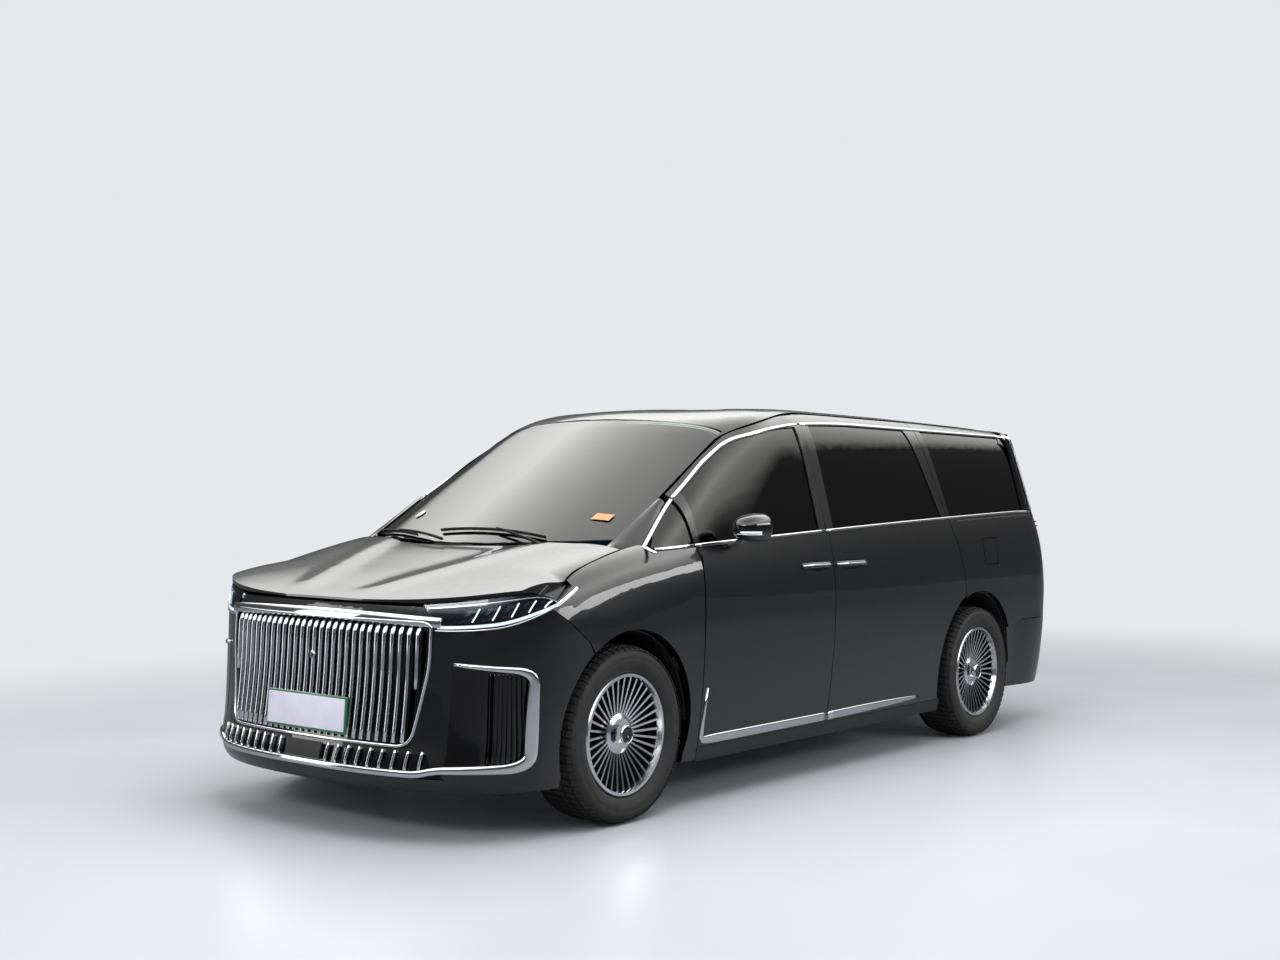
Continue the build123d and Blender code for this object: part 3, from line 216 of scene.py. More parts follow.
def quads(rows, columns, wrap_rows=False, wrap_columns=False, start=0):
    """Faces of a grid of points."""
    faces = []
    for r in range(rows if wrap_rows else rows - 1):
        for c in range(columns if wrap_columns else columns - 1):
            a = start + r * columns + c
            b = start + r * columns + (c + 1) % columns
            d = start + ((r + 1) % rows) * columns + c
            e = start + ((r + 1) % rows) * columns + (c + 1) % columns
            faces.append((a, b, e, d))
    return faces


def tube_faces(rows, columns, start=0):
    """Faces of a tube of points with both its ends closed."""
    end = start + rows * columns
    ends = [tuple(range(start, start + columns)), tuple(range(end - 1, end - columns - 1, -1))]
    return quads(rows, columns, wrap_columns=True, start=start) + ends


def circle(count):
    """Evenly spaced angles of a full turn."""
    return [2 * math.pi * k / count for k in range(count)]


def outward(made):
    """Turn a closed mesh's faces outwards."""
    shape = bmesh.new()
    shape.from_mesh(made.data)
    bmesh.ops.remove_doubles(shape, verts=shape.verts, dist=1e-6)
    bmesh.ops.recalc_face_normals(shape, faces=shape.faces)
    shape.to_mesh(made.data)
    shape.free()
    made.data.update()
    return made


def swept(name, body, line, outs, profile, finish, closed=False):
    """A profile of (across, out) points swept along a line with outward directions."""
    line, outs = np.array(line, float), np.array(outs, float)
    if closed:
        along = np.roll(line, -1, 0) - np.roll(line, 1, 0)
    else:
        along = np.gradient(line, axis=0)
    along /= np.linalg.norm(along, axis=1)[:, None]
    across = np.cross(outs, along)
    across /= np.linalg.norm(across, axis=1)[:, None]
    points = []
    for k in range(len(line)):
        scale = profile(k / (len(line) - 1)) if callable(profile) else profile
        points += [line[k] + across[k] * a + outs[k] * o for a, o in scale]
    count = len(points) // len(line)
    faces = quads(len(line), count, wrap_rows=closed, wrap_columns=True)
    if not closed:
        faces += [tuple(range(count - 1, -1, -1)), tuple(range(len(points) - count, len(points)))]
    return outward(piece(name, body, points, faces, finish))


def half_round(width, proud, sunk=2.0):
    """Profile of a rounded strip: its width, how far it stands out, how deep its back sits."""
    side = width / 2
    turns = [math.radians(a) for a in range(0, 181, 20)]
    return [(side * math.cos(a), proud * math.sin(a) ** 0.7) for a in turns] + [(-side, -sunk), (side, -sunk)]


def axle_point(centre, x, radius, angle):
    """Point at a distance along and from a wheel's axle."""
    return (centre[0] + x, centre[1] + radius * math.cos(angle), centre[2] + radius * math.sin(angle))


def turned(name, body, centre, profile, finish, hand=1, count=96):
    """A closed profile of (axle distance, radius) points turned about a wheel's axle."""
    points = [axle_point(centre, hand * x, radius, angle) for angle in circle(count) for x, radius in profile]
    return outward(piece(name, body, points, quads(count, len(profile), True, True), finish))


def block(name, body, centre, size, finish, round_by=4.0, tilt=0.0):
    """A moulded block with rounded edges, tilted about its width."""
    x, y, z = (s / 2 for s in size)
    corners = [(sx * x, sy * y, sz * z) for sx in (-1, 1) for sy in (-1, 1) for sz in (-1, 1)]
    points = [Matrix.Rotation(tilt, 3, "X") @ Vector(c) + Vector(centre) for c in corners]
    faces = [(0, 1, 3, 2), (4, 6, 7, 5), (0, 4, 5, 1), (2, 3, 7, 6), (0, 2, 6, 4), (1, 5, 7, 3)]
    made = piece(name, None, points, faces, finish)
    edge = made.modifiers.new("rounded", "BEVEL")
    edge.width = round_by / 1000
    edge.segments = 3
    edge.limit_method = "NONE"
    baked(made)
    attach(made, body)
    return made


def baked(made):
    """Apply a piece's modifiers to its mesh."""
    graph = bpy.context.evaluated_depsgraph_get()
    graph.update()
    mesh = bpy.data.meshes.new_from_object(made.evaluated_get(graph))
    made.modifiers.clear()
    made.data = mesh
    return made


print("builders ready")

# %% [markdown]
# ## Finishes
# Each finish starts from what the real material is. One function turns a colour as it is written on a colour
# card into the linear light Blender works in, one adds a node with its settings and links, one starts an
# empty material, and one gives it a Principled shader. Patterns are sized from real millimetres, in Object
# coordinates, because every finished piece has its place in its mesh.

# %% Colour and nodes
def srgb(code):
    """Linear colour of an sRGB hex code."""
    channels = [int(code[i : i + 2], 16) / 255 for i in (1, 3, 5)]
    return tuple(c / 12.92 if c <= 0.04045 else ((c + 0.055) / 1.055) ** 2.4 for c in channels) + (1.0,)


def add(tree, kind, links=None, **settings):
    """Add a node, set its properties and sockets, and link it."""
    made = tree.nodes.new(kind)
    for name, value in settings.items():
        if hasattr(made, name):
            setattr(made, name, value)
        else:
            made.inputs[name.replace("_", " ")].default_value = value
    for name, source in (links or {}).items():
        tree.links.new(source, made.inputs[name])
    return made


def empty_material(name):
    """A material whose node tree is still empty."""
    made = bpy.data.materials.new(name)
    made.use_nodes = True
    made.node_tree.nodes.clear()
    return made, made.node_tree


def finish(name, colour, **settings):
    """A material with one Principled shader; its sockets take the settings."""
    made, tree = empty_material(name)
    shader = add(tree, "ShaderNodeBsdfPrincipled", Base_Color=srgb(colour), **settings)
    add(tree, "ShaderNodeOutputMaterial", {"Surface": shader.outputs[0]})
    return made, tree, shader


def grain(tree, shader, millimetres, strength, depth=0.1, kind="ShaderNodeTexNoise"):
    """Fine relief of a real size, in Object coordinates."""
    place = add(tree, "ShaderNodeTexCoord").outputs["Object"]
    texture = add(tree, kind, {"Vector": place}, Scale=1000 / millimetres)
    height = texture.outputs["Fac" if kind == "ShaderNodeTexNoise" else "Distance"]
    bump = add(tree, "ShaderNodeBump", {"Height": height}, Strength=strength, Distance=depth / 1000)
    tree.links.new(bump.outputs[0], shader.inputs["Normal"])


def mottled(tree, shader, socket, millimetres, low, high):
    """A socket that wanders between two values over patches of a real size."""
    place = add(tree, "ShaderNodeTexCoord").outputs["Object"]
    noise = add(tree, "ShaderNodeTexNoise", {"Vector": place}, Scale=1000 / millimetres, Detail=4.0)
    if isinstance(low, str):
        ramp = add(tree, "ShaderNodeValToRGB", {"Fac": noise.outputs["Fac"]})
        first, last = ramp.color_ramp.elements
        first.color, last.color = srgb(low), srgb(high)
        first.position, last.position = 0.3, 0.7
        tree.links.new(ramp.outputs["Color"], shader.inputs[socket])
    else:
        spread = add(tree, "ShaderNodeMapRange", {"Value": noise.outputs["Fac"]}, To_Min=low, To_Max=high)
        tree.links.new(spread.outputs[0], shader.inputs[socket])


def surfaced(name, colour, patches=None, relief=None, **settings):
    """A finish with a socket that wanders over patches and a fine relief, where they are given."""
    made, tree, shader = finish(name, colour, **settings)
    if patches:
        mottled(tree, shader, *patches)
    if relief:
        grain(tree, shader, *relief)
    return made


# %% [markdown]
# ### Black paint
# Car paint is a coloured base under a clear lacquer. The base is a deep black with a trace of blue; the
# lacquer is the Principled shader's coat, almost mirror smooth, so the panels are seen by what they reflect.
# The base's roughness wanders a little over patches of about 40 mm.

# %% Paint, chrome and bright metal
black_paint = surfaced(
    "black_lacquer_paint", "#050609", ("Roughness", 40, 0.3, 0.4),
    Roughness=0.4, Specular_IOR_Level=0.25, Coat_Weight=1.0, Coat_Roughness=0.015,
)

chrome = surfaced("chrome_plated_abs", "#dcdee2", ("Roughness", 60, 0.03, 0.09), Metallic=1.0)

satin_chrome = surfaced("satin_chrome", "#c3c5c9", ("Roughness", 30, 0.2, 0.28), Metallic=1.0)

# Machined aluminium: the spokes' faces are turned bright, their sides and the rim's well are painted dark.
machined_alloy, tree, shader = finish("machined_aluminium_wheel", "#c9cbcf", Metallic=1.0)
place = add(tree, "ShaderNodeTexCoord").outputs["Object"]
across = add(tree, "ShaderNodeSeparateXYZ", {"Vector": place}).outputs["X"]
reach = add(tree, "ShaderNodeMath", {"Value": across}, operation="ABSOLUTE").outputs[0]
normal = add(tree, "ShaderNodeNewGeometry").outputs["Normal"]
facing = add(tree, "ShaderNodeSeparateXYZ", {"Vector": normal}).outputs["X"]
facing = add(tree, "ShaderNodeMath", {"Value": facing}, operation="ABSOLUTE").outputs[0]
outer = add(tree, "ShaderNodeMapRange", {"Value": reach}, From_Min=0.868, From_Max=0.88).outputs[0]
face = add(tree, "ShaderNodeMapRange", {"Value": facing}, From_Min=0.12, From_Max=0.3).outputs[0]
bright = add(tree, "ShaderNodeMath", {0: outer, 1: face}, operation="MULTIPLY").outputs[0]
tone = add(tree, "ShaderNodeMix", {"Factor": bright}, data_type="RGBA")
tone.inputs[6].default_value, tone.inputs[7].default_value = srgb("#6a6c70"), srgb("#e2e4e8")
tree.links.new(tone.outputs[2], shader.inputs["Base Color"])
polish = add(tree, "ShaderNodeMapRange", {"Value": bright}, To_Min=0.42, To_Max=0.16)
tree.links.new(polish.outputs[0], shader.inputs["Roughness"])

# Cast and coated chassis parts: iron with a black dip coat, dull and slightly uneven.
coated_steel = surfaced(
    "dip_coated_steel", "#1a1b1d", ("Roughness", 25, 0.45, 0.65), (3.0, 0.25),
    Roughness=0.55,
)

cast_alloy = surfaced("cast_aluminium", "#8b8d90", relief=(1.5, 0.3), Metallic=1.0, Roughness=0.5)

brake_iron = surfaced("ground_cast_iron", "#9a9a98", ("Roughness", 12, 0.25, 0.42), Metallic=1.0)

# %% [markdown]
# ### Plastics, rubber and leather
# Wheel-arch liners and the rocker are injection-moulded polypropylene with a spark-eroded grain of about
# 1.2 mm. Tyre rubber is a matt carbon black with a browner bloom on the side walls. The seats are corrected
# grain leather, with pebbles of about 2 mm and a soft sheen.

# %% Plastics, rubber, leather and carpet
grained_plastic = surfaced(
    "grained_polypropylene", "#1b1c1e", relief=(1.2, 0.35, 0.15, "ShaderNodeTexVoronoi"),
    Roughness=0.5,
)

gloss_plastic = surfaced(
    "gloss_black_abs", "#050506", ("Roughness", 50, 0.09, 0.15),
    Roughness=0.12, Coat_Weight=0.6, Coat_Roughness=0.03,
)

tyre_rubber = surfaced(
    "carbon_black_rubber", "#1c1c1d", ("Base Color", 35, "#161617", "#232222"), (1.5, 0.25),
    Roughness=0.7,
)

# Dark rubber. The same finish also makes dark discs and strips that paint the shade of holes and slots.
rubber_and_painted_shade = surfaced("epdm_rubber_and_painted_shade", "#0d0d0e", relief=(2.0, 0.15), Roughness=0.6)

leather = surfaced(
    "grained_leather", "#8c6b50",
    ("Base Color", 60, "#7d5d45", "#987659"), (2.2, 0.35, 0.25, "ShaderNodeTexVoronoi"),
    Roughness=0.42, Sheen_Weight=0.15,
)

dark_leather = surfaced(
    "dark_grained_leather", "#1d1b1a", relief=(2.0, 0.3, 0.2, "ShaderNodeTexVoronoi"),
    Roughness=0.45,
)

carpet = surfaced(
    "tufted_carpet", "#141416", ("Base Color", 6, "#0f0f11", "#1d1d20"), (2.5, 0.9, 1.0),
    Roughness=0.95, Sheen_Weight=0.4,
)

soft_trim = surfaced(
    "soft_touch_trim", "#2a2522", relief=(1.5, 0.3, 0.15, "ShaderNodeTexVoronoi"),
    Roughness=0.6,
)

# %% [markdown]
# ### Glass and lamps
# Side glass is tempered glass with a dark privacy tint, the windscreen is laminated and pale. Seen from
# outside, glass is a mirror at grazing angles and a tinted window straight on; mixing a clear and a glossy
# shader by Fresnel gives both without the noise that refraction in a thin pane would add.

# %% Glass
def glass(name, tint, index=1.52):
    """Thin pane: tinted where it is looked through, a mirror at grazing angles."""
    made, tree = empty_material(name)
    through = add(tree, "ShaderNodeBsdfTransparent", Color=srgb(tint))
    mirror = add(tree, "ShaderNodeBsdfGlossy", Color=srgb("#ffffff"), Roughness=0.01)
    grazing = add(tree, "ShaderNodeFresnel", IOR=index)
    parts = {0: grazing.outputs[0], 1: through.outputs[0], 2: mirror.outputs[0]}
    mixed = add(tree, "ShaderNodeMixShader", parts)
    add(tree, "ShaderNodeOutputMaterial", {"Surface": mixed.outputs[0]})
    return made


clear_glass = glass("laminated_windscreen_glass", "#b9c4c0", 1.85)
tinted_glass = glass("tinted_tempered_glass", "#4a4e50")
privacy_glass = glass("privacy_tempered_glass", "#24262a")
lamp_lens = glass("clear_polycarbonate_lens", "#dfe4ea")

lamp_housing = surfaced("lamp_housing_plastic", "#15171b", ("Roughness", 20, 0.15, 0.3), Roughness=0.2)
lamp_reflector = surfaced(
    "vapour_metallised_reflector", "#b4b8bf", ("Roughness", 10, 0.08, 0.2),
    Metallic=1.0,
)
# Light guides glow as lamps do; the same glow on the headlights' slanted fins is a painted highlight.
lamp_light_guide = surfaced(
    "frosted_light_guide_and_painted_highlight", "#eef2f7", ("Roughness", 8, 0.2, 0.35),
    Roughness=0.25, Emission_Color=srgb("#f2f6ff"), Emission_Strength=0.9,
)
red_lens = surfaced(
    "red_acrylic_lens", "#6b0a0c", ("Base Color", 14, "#5a080a", "#7c0d10"),
    Roughness=0.08, Coat_Weight=1.0, Coat_Roughness=0.02,
)

plate_face = surfaced(
    "bare_plate_film", "#dcd9ea", ("Base Color", 80, "#d8d5e8", "#e2e0ee"),
    Roughness=0.35,
)
plate_green = surfaced(
    "green_plate_frame", "#1f6b45", ("Roughness", 30, 0.25, 0.35),
    Roughness=0.3, Coat_Weight=0.4,
)
display = surfaced(
    "display_glass", "#06080c", ("Roughness", 40, 0.06, 0.12),
    Roughness=0.08, Coat_Weight=1.0, Emission_Color=srgb("#31506f"), Emission_Strength=0.05,
)
orange_film = surfaced("orange_film", "#e08a4a", ("Base Color", 12, "#dd8240", "#ecb48a"), Roughness=0.5)
white_film = surfaced("white_film", "#ecebe6", ("Base Color", 12, "#e6e5e0", "#f4f3f0"), Roughness=0.5)
print(len(bpy.data.materials), "materials")

# %% Finishes of the CAD nodes
finish_groups = (
    (black_paint, "bonnet front_fenders front_bumper front_door_left front_door_right sliding_doors"),
    (black_paint, "tailgate fuel_flap quarter_panels rear_bumper roof"),
    (gloss_plastic, "body_frame mirror_left mirror_right"),
    (chrome, "grille lower_grille"),
    (lamp_housing, "headlights"),
    (red_lens, "tail_lamps"),
    (privacy_glass, "glass_roof rear_glass side_glass"),
    (tinted_glass, "front_door_glass_left front_door_glass_right"),
    (clear_glass, "windscreen"),
    (carpet, "floor_pan"),
    (grained_plastic, "bulkhead wheel_liners sills"),
    (coated_steel, "front_subframe rear_axle knuckle_left knuckle_right"),
    (cast_alloy, "engine_and_radiator"),
    (soft_trim, "dashboard"),
    (dark_leather, "steering_wheel"),
    (machined_alloy, "rim_front_left rim_front_right rim_rear_left rim_rear_right"),
    (tyre_rubber, "tyre_front_left tyre_front_right tyre_rear_left tyre_rear_right"),
)
for made, names in finish_groups:
    for name in names.split():
        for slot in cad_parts[name].material_slots:
            slot.material = made
print(sum(len(names.split()) for made, names in finish_groups), "CAD nodes finished")

# %% [markdown]
# ## Patches on the skin
# A lens, a film or a dark panel is a thin sheet that follows the skin. It is given as a rule from two numbers
# between 0 and 1 to a place on the skin, and becomes a closed shell with an outer and an inner face.

# %% Sheets that follow a surface
def unit(x, y, z):
    """A direction of length 1."""
    direction = np.array([x, y, z])
    return direction / np.linalg.norm(direction)


def nose_point(x, z, out=0.0):
    """Point over the nose's skin, and the skin's outward direction there."""
    slope_x = (nose_at(x + 2, z) - nose_at(x - 2, z)) / 4
    slope_z = (nose_at(x, z + 2) - nose_at(x, z - 2)) / 4
    normal = unit(slope_x, -1.0, slope_z)
    return np.array([x, nose_at(x, z), z]) + normal * out, normal


def tail_point(x, z, out=0.0):
    """Point over the tail's skin, and the skin's outward direction there."""
    slope_x = (tail_at(x + 2, z) - tail_at(x - 2, z)) / 4
    slope_z = (tail_at(x, z + 2) - tail_at(x, z - 2)) / 4
    normal = unit(-slope_x, 1.0, -slope_z)
    return np.array([x, tail_at(x, z), z]) + normal * out, normal


def side_point(y, z, out=0.0, hand=1, surface=skin_x):
    """Point over the side's skin, and the skin's outward direction there."""
    slope_y = (surface(y + 4, z) - surface(y - 4, z)) / 8
    slope_z = (surface(y, z + 4) - surface(y, z - 4)) / 8
    normal = unit(1.0, -slope_y, -slope_z)
    return (np.array([surface(y, z), y, z]) + normal * out) * [hand, 1, 1], normal * [hand, 1, 1]


def screen_point(x, y, out=0.0):
    """Point over the windscreen or the roof, and the outward direction there."""
    slope_x = (cabin_top(y, x + 3) - cabin_top(y, x - 3)) / 6
    slope_y = (cabin_top(y + 3, x) - cabin_top(y - 3, x)) / 6
    normal = unit(-slope_x, -slope_y, 1.0)
    return np.array([x, y, cabin_top(y, x)]) + normal * out, normal


def grid_rim(rows, columns):
    """Numbers of the points round the edge of a grid."""
    rim = list(range(columns)) + [r * columns + columns - 1 for r in range(1, rows)]
    rim += [(rows - 1) * columns + c for c in range(columns - 2, -1, -1)]
    return rim + [r * columns for r in range(rows - 2, 0, -1)]


def sheet(name, body, rule, rows, columns, thickness, made_of):
    """A closed thin shell over a rule (u, v) -> (point, outward direction)."""
    outer, inner = [], []
    for r in range(rows + 1):
        for c in range(columns + 1):
            point, normal = rule(r / rows, c / columns)
            outer.append(point)
            inner.append(point - normal * thickness)
    count = len(outer)
    faces = quads(rows + 1, columns + 1)
    faces += [tuple(count + i for i in reversed(face)) for face in faces]
    rim = grid_rim(rows + 1, columns + 1)
    faces += [(a, b, count + b, count + a) for a, b in zip(rim, rim[1:] + rim[:1])]
    made = outward(piece(name, body, outer + inner, faces, made_of))
    made.data.set_sharp_from_angle(angle=math.radians(50))
    return made


def strip(name, body, found, section, made_of=chrome, slot=None, closed=False):
    """A section swept along (point, outward direction) pairs. The slot is not used."""
    line, outs = zip(*found)
    made = swept(name, body, line, outs, section, made_of, closed)
    slot = "bright_trim" if made_of == chrome else slot
    return made


def between(low, high, share):
    """Number at a share of the way from low to high."""
    return low + (high - low) * share


def rounded_line(corners, radius=45.0, count=6):
    """A polyline in two dimensions with eased corners and even steps."""
    corners = [np.array(p, float) for p in corners]
    line = [corners[0]]
    for before, corner, after in zip(corners, corners[1:], corners[2:]):
        into, out = before - corner, after - corner
        reach = min(radius, 0.45 * np.linalg.norm(into), 0.45 * np.linalg.norm(out))
        start = corner + into / np.linalg.norm(into) * reach
        end = corner + out / np.linalg.norm(out) * reach
        line += [(1 - t) ** 2 * start + 2 * t * (1 - t) * corner + t * t * end for t in steps(0, 1, count)]
    line.append(corners[-1])
    filled = []
    for a, b in zip(line, line[1:]):
        parts = max(1, int(np.linalg.norm(b - a) / 40))
        filled += [a + (b - a) * k / parts for k in range(parts)]
    return filled + [line[-1]]


def flat_strip(width, proud, sunk=2.0):
    """Profile of a bevelled flat strip."""
    side = width / 2
    face = [(side, 0), (side * 0.94, proud * 0.6), (side * 0.74, proud), (0, proud * 1.06)]
    return face + [(-a, o) for a, o in face[2::-1]] + [(-side, -sunk), (side, -sunk)]


sides = (("left", 1), ("right", -1))

# %% [markdown]
# ## Grille
# The grille is a curtain of rounded chrome bars in a thin frame. The bars follow the nose's double curve and
# fold back over the top like falling water. Their section is a half round, so each carries one long bright
# line. They replace the plain bars of the CAD model, over a dark backing that closes the gaps between them.

# %% Bars of the grille
grille_bars = 29
bar_pitch = 1180 / (grille_bars + 1)


def grille_bar(number):
    """Points and outward directions of one bar, folding back at its top."""
    x = (number - (grille_bars - 1) / 2) * bar_pitch
    lean = max(abs(x) - 512, 0) / 60
    low = 386 + lean * 330
    found = [nose_point(x, z, 3) for z in steps(low, 800, max(2, int((800 - low) / 40)))]
    foot = found[-1][0]
    for angle in (15, 30, 45, 60, 75, 90):
        bend = math.radians(angle)
        point = foot + np.array([0, 52 * (1 - math.cos(bend)), 44 * math.sin(bend)])
        found.append((point, np.array([0, -math.cos(bend), math.sin(bend)])))
    return found


bar_points, bar_faces = [], []
bar_profile = half_round(20, 12, 12)
for number in range(grille_bars):
    found = grille_bar(number)
    start = len(bar_points)
    for point, normal in found:
        bar_points += [point + np.array([a, 0, 0]) + normal * o for a, o in bar_profile]
    bar_faces += tube_faces(len(found), len(bar_profile), start)
grille_curtain = outward(piece("grille_bars", "body", bar_points, bar_faces, chrome))

# %% Frame, top bar and backing of the grille
half_edge = rounded_line([(0, 374), (545, 374), (606, 700), (606, 846), (575, 858), (0, 858)], 62)
edge = half_edge + [np.array([-p[0], p[1]]) for p in half_edge[-2:0:-1]]
strip("grille_frame", "body", [nose_point(x, z, 4) for x, z in edge], half_round(12, 6, 16), closed=True)
found = [nose_point(x, 872 - 14 * (x / 640) ** 2, 2) for x in steps(-642, 642, 60)]
strip("grille_top_bar", "body", found, flat_strip(42, 6, 8))


def backing(u, v):
    """The dark wall behind the grille's bars."""
    z = between(376, 858, v)
    x = between(-1, 1, u) * between(545, 600, min(v / 0.7, 1))
    return nose_point(x, z, -26)


sheet("grille_backing", "body", backing, 40, 16, 4, gloss_plastic)
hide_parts("grille")
print(grille_bars, "bars,", len(bar_faces), "faces")

# %% [markdown]
# ### Camera and number plate
# A small round camera looks out between the middle bars. The number plate is a blank pressed sheet in a
# green frame, held in front of the grille.

# %% Camera, plate and its frame
camera_at = nose_point(0, 700, 12)[0]


def camera_ring(name, radius, depth, made_of):
    """A round body about the camera's axis, standing out by a depth."""
    points = []
    for angle in circle(32):
        for r, y in ((0.0, -depth), (radius * 0.7, -depth), (radius, -depth + 2), (radius, 6), (0.0, 6)):
            points.append(camera_at + np.array([r * math.cos(angle), y, r * math.sin(angle)]))
    return outward(piece(name, "body", points, quads(32, 5, wrap_rows=True), made_of))


camera_ring("front_camera_body", 16, 6, satin_chrome)
camera_ring("front_camera_lens", 10, 9, display)
plate_lean = math.radians(-4)
plate_at = np.array([0.0, nose_at(0, 473) - 24, 473.0])
block("number_plate_frame", "body", plate_at + [0, 5, 0], (492, 10, 150), plate_green, 5, plate_lean)
block("number_plate", "body", plate_at - [0, 2, -1], (474, 6, 130), plate_face, 3, plate_lean)

# %% [markdown]
# ## Lower intake, blade and side ducts
# Under the grille a row of short bright teeth fills the intake. A chrome blade runs below it and turns up
# round each side duct as one line, which is swept along the skin so that it never leaves it. Each duct is a
# gloss panel with a field of fine upright fins at its outer side.

# %% Teeth, blade and ducts
tooth_count, tooth_pitch, sensor_half = 22, 57, 112
for number in range(tooth_count):
    x = (number - (tooth_count - 1) / 2) * tooth_pitch
    if abs(x) < sensor_half:
        continue
    found = [nose_point(x + 5 * math.copysign(t, x), 287 + 72 * t, 1) for t in steps(0, 1, 6)]
    tooth = strip(f"intake_tooth_{number:02d}", "body", found, half_round(12, 9, 6))
    if number == 0:
        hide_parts("lower_grille")


def intake_back(u, v):
    """The dark wall behind the intake's teeth."""
    return nose_point(between(-690, 690, u), between(286, 356, v), -10)


sheet("intake_backing", "body", intake_back, 44, 4, 4, gloss_plastic)


def sensor_face(u, v):
    """The flat cover in the middle of the intake."""
    return nose_point(between(-106, 106, u), between(290, 356, v), 3)


sheet("sensor_cover", "body", sensor_face, 10, 4, 12, rubber_and_painted_shade)

blade_corners = [(0, 272), (590, 272), (660, 292), (916, 300), (936, 676), (700, 700)]
half_blade = rounded_line(blade_corners, 52)
blade_line = [np.array([-p[0], p[1]]) for p in half_blade[:0:-1]] + half_blade


def blade_section(share):
    """The blade is widest on the duct's outer side and tapers to its ends."""
    fold = abs(2 * share - 1)
    width = 28 + 30 * math.exp(-(((fold - 0.71) / 0.13) ** 2)) - 14 * max(fold - 0.88, 0) / 0.12
    return flat_strip(width, 7, 8)


strip("front_blade", "body", [nose_point(x, z, 1) for x, z in blade_line], blade_section)

for side, hand in sides:

    def duct_back(u, v, hand=hand):
        return nose_point(hand * between(690, 926, u), between(312, 682, v), -22 if u > 0.5 else -2)

    sheet(f"duct_panel_{side}", "body", duct_back, 16, 10, 4, gloss_plastic)
    for number in range(8):
        x = hand * (822 + 12.5 * number)
        found = [nose_point(x, z, -9) for z in steps(318, 676, 14)]
        strip(f"duct_fin_{side}_{number}", "body", found, half_round(5, 7, 10), gloss_plastic)

# %% [markdown]
# ## Headlights
# A headlight is a dark moulded housing under a clear polycarbonate lens. A chrome strip follows its top edge,
# a frosted light guide its lower edge up into the tip, and slanted reflector modules with dark eyes stand
# between them. The housing is the CAD piece. A dark bezel lies on it with the other parts, and the lens is a
# sheet a few millimetres over them.

# %% Edges of the lamp
def pressed_z(x, y):
    """Height of the pressed bonnet, with its creases and its high edge over the lamps."""
    width = side_x(max(y, lamp_tip_y), 950)
    back = min(max((y + 2300) / 240, 0.0), 1.0)
    power = 16 - 8 * back * back * (3 - 2 * back)
    share = (1 - min(abs(x) / width, 0.999) ** power) ** (1 / power)
    z = 500 + (smooth(bonnet_line, y) - 8 * (x / 680) ** 2 - 500) * share
    along = (y + 2520) / 860
    crease = 190 + 330 * along
    tent = max(0.0, 1 - abs(abs(x) - crease) / 110)
    fade = min(max(along / 0.12, 0.0), 1.0)
    return z + 7 * tent * fade - 3 * min(max((crease - abs(x)) / 150, 0), 1) * fade


def lamp_top(y):
    """Height at which the bonnet's lip covers the lamp."""
    low, high = smooth(lamp_line, y), 1010.0
    for _ in range(30):
        z = (low + high) / 2
        if pressed_z(side_x(y, z), y) - 21 > z:
            low = z
        else:
            high = z
    return low


def lamp_y(share):
    """Place along the body of a share of the lamp's length."""
    return between(-2503, lamp_tip_y - 10, share**1.3)


def lamp_place(u, v, out, hand):
    """Place in the lamp: u from its inner end to its tip, v from its lower to its upper edge."""
    y = lamp_y(u)
    low = smooth(lamp_line, y) + 3 - 6 * math.sin(math.pi * u)
    high = lamp_top(y) - 2
    return side_point(y, between(low, max(high, low + 5), v), out, hand, side_x)


for side, hand in sides:

    def lamp_back(u, v, hand=hand):
        return lamp_place(u, v, 0.5, hand)

    sheet(f"lamp_bezel_{side}", "body", lamp_back, 40, 8, 3, lamp_housing)

    def top_section(share):
        return flat_strip(22 - 18 * min(share / 0.62, 1.0) ** 1.5, 3, 3)

    top = [lamp_place(u, 0.86, 1, hand) for u in steps(0.0, 0.97, 40)]
    strip(f"lamp_top_strip_{side}", "body", top, top_section)
    low = [lamp_place(u, 0.15 + 0.5 * max(u - 0.82, 0) / 0.18, 1, hand) for u in steps(0.03, 0.985, 44)]
    strip(f"lamp_light_guide_{side}", "body", low, flat_strip(13, 3, 3), lamp_light_guide, "lamp_glass")
    for number in range(5):
        start = 0.16 + 0.115 * number

        def module(u, v, start=start, hand=hand):
            return lamp_place(start + 0.062 * u + 0.06 * v, between(0.3, 0.7, v), 1.5, hand)

        sheet(f"lamp_module_{side}_{number}", "body", module, 6, 5, 4, lamp_reflector)

        def eye(u, v, start=start, hand=hand):
            up = 0.42 + (v - 0.5) * 0.24 * math.sin(math.pi * u) + 0.08
            return lamp_place(start + 0.012 + 0.05 * u + 0.05 * v, up, 3, hand)

        sheet(f"lamp_eye_{side}_{number}", "body", eye, 8, 4, 2, display)
        # Painted highlight: each slanted fin between the modules glows white.
        slant = [lamp_place(start + 0.07 + 0.06 * t, 0.3 + 0.42 * t, 4.5, hand) for t in steps(0, 1, 8)]
        strip(f"lamp_fin_{side}_{number}", "body", slant, flat_strip(5, 2, 2), lamp_light_guide)

    def lens(u, v, hand=hand):
        return lamp_place(u, v, 5.5, hand)

    sheet(f"lamp_lens_{side}", "body", lens, 40, 8, 2, lamp_lens)
    edge = [lamp_place(u, 0.02, 4, hand) for u in steps(0.0, 0.99, 44)]
    strip(f"lamp_edge_{side}", "body", edge, half_round(5, 2, 4))
print("lamp from", round(lamp_y(0)), "to", round(lamp_y(1)), "mm along the body")

# %% [markdown]
# ## Bright lines round the windows and along the sills
# One chrome line rises over the windows and one runs along the belt. Each is cut where a door is cut, and
# each length rides on its own door, so it swings with it.

# %% Window and sill chrome
def trim_line(name, body, pairs, section, hand, surface=skin_x, out=0.5, made_of=chrome):
    """A strip of trim along (y, z) pairs on one side."""
    strip(name, body, [side_point(y, z, out, hand, surface) for y, z in pairs], section, made_of)


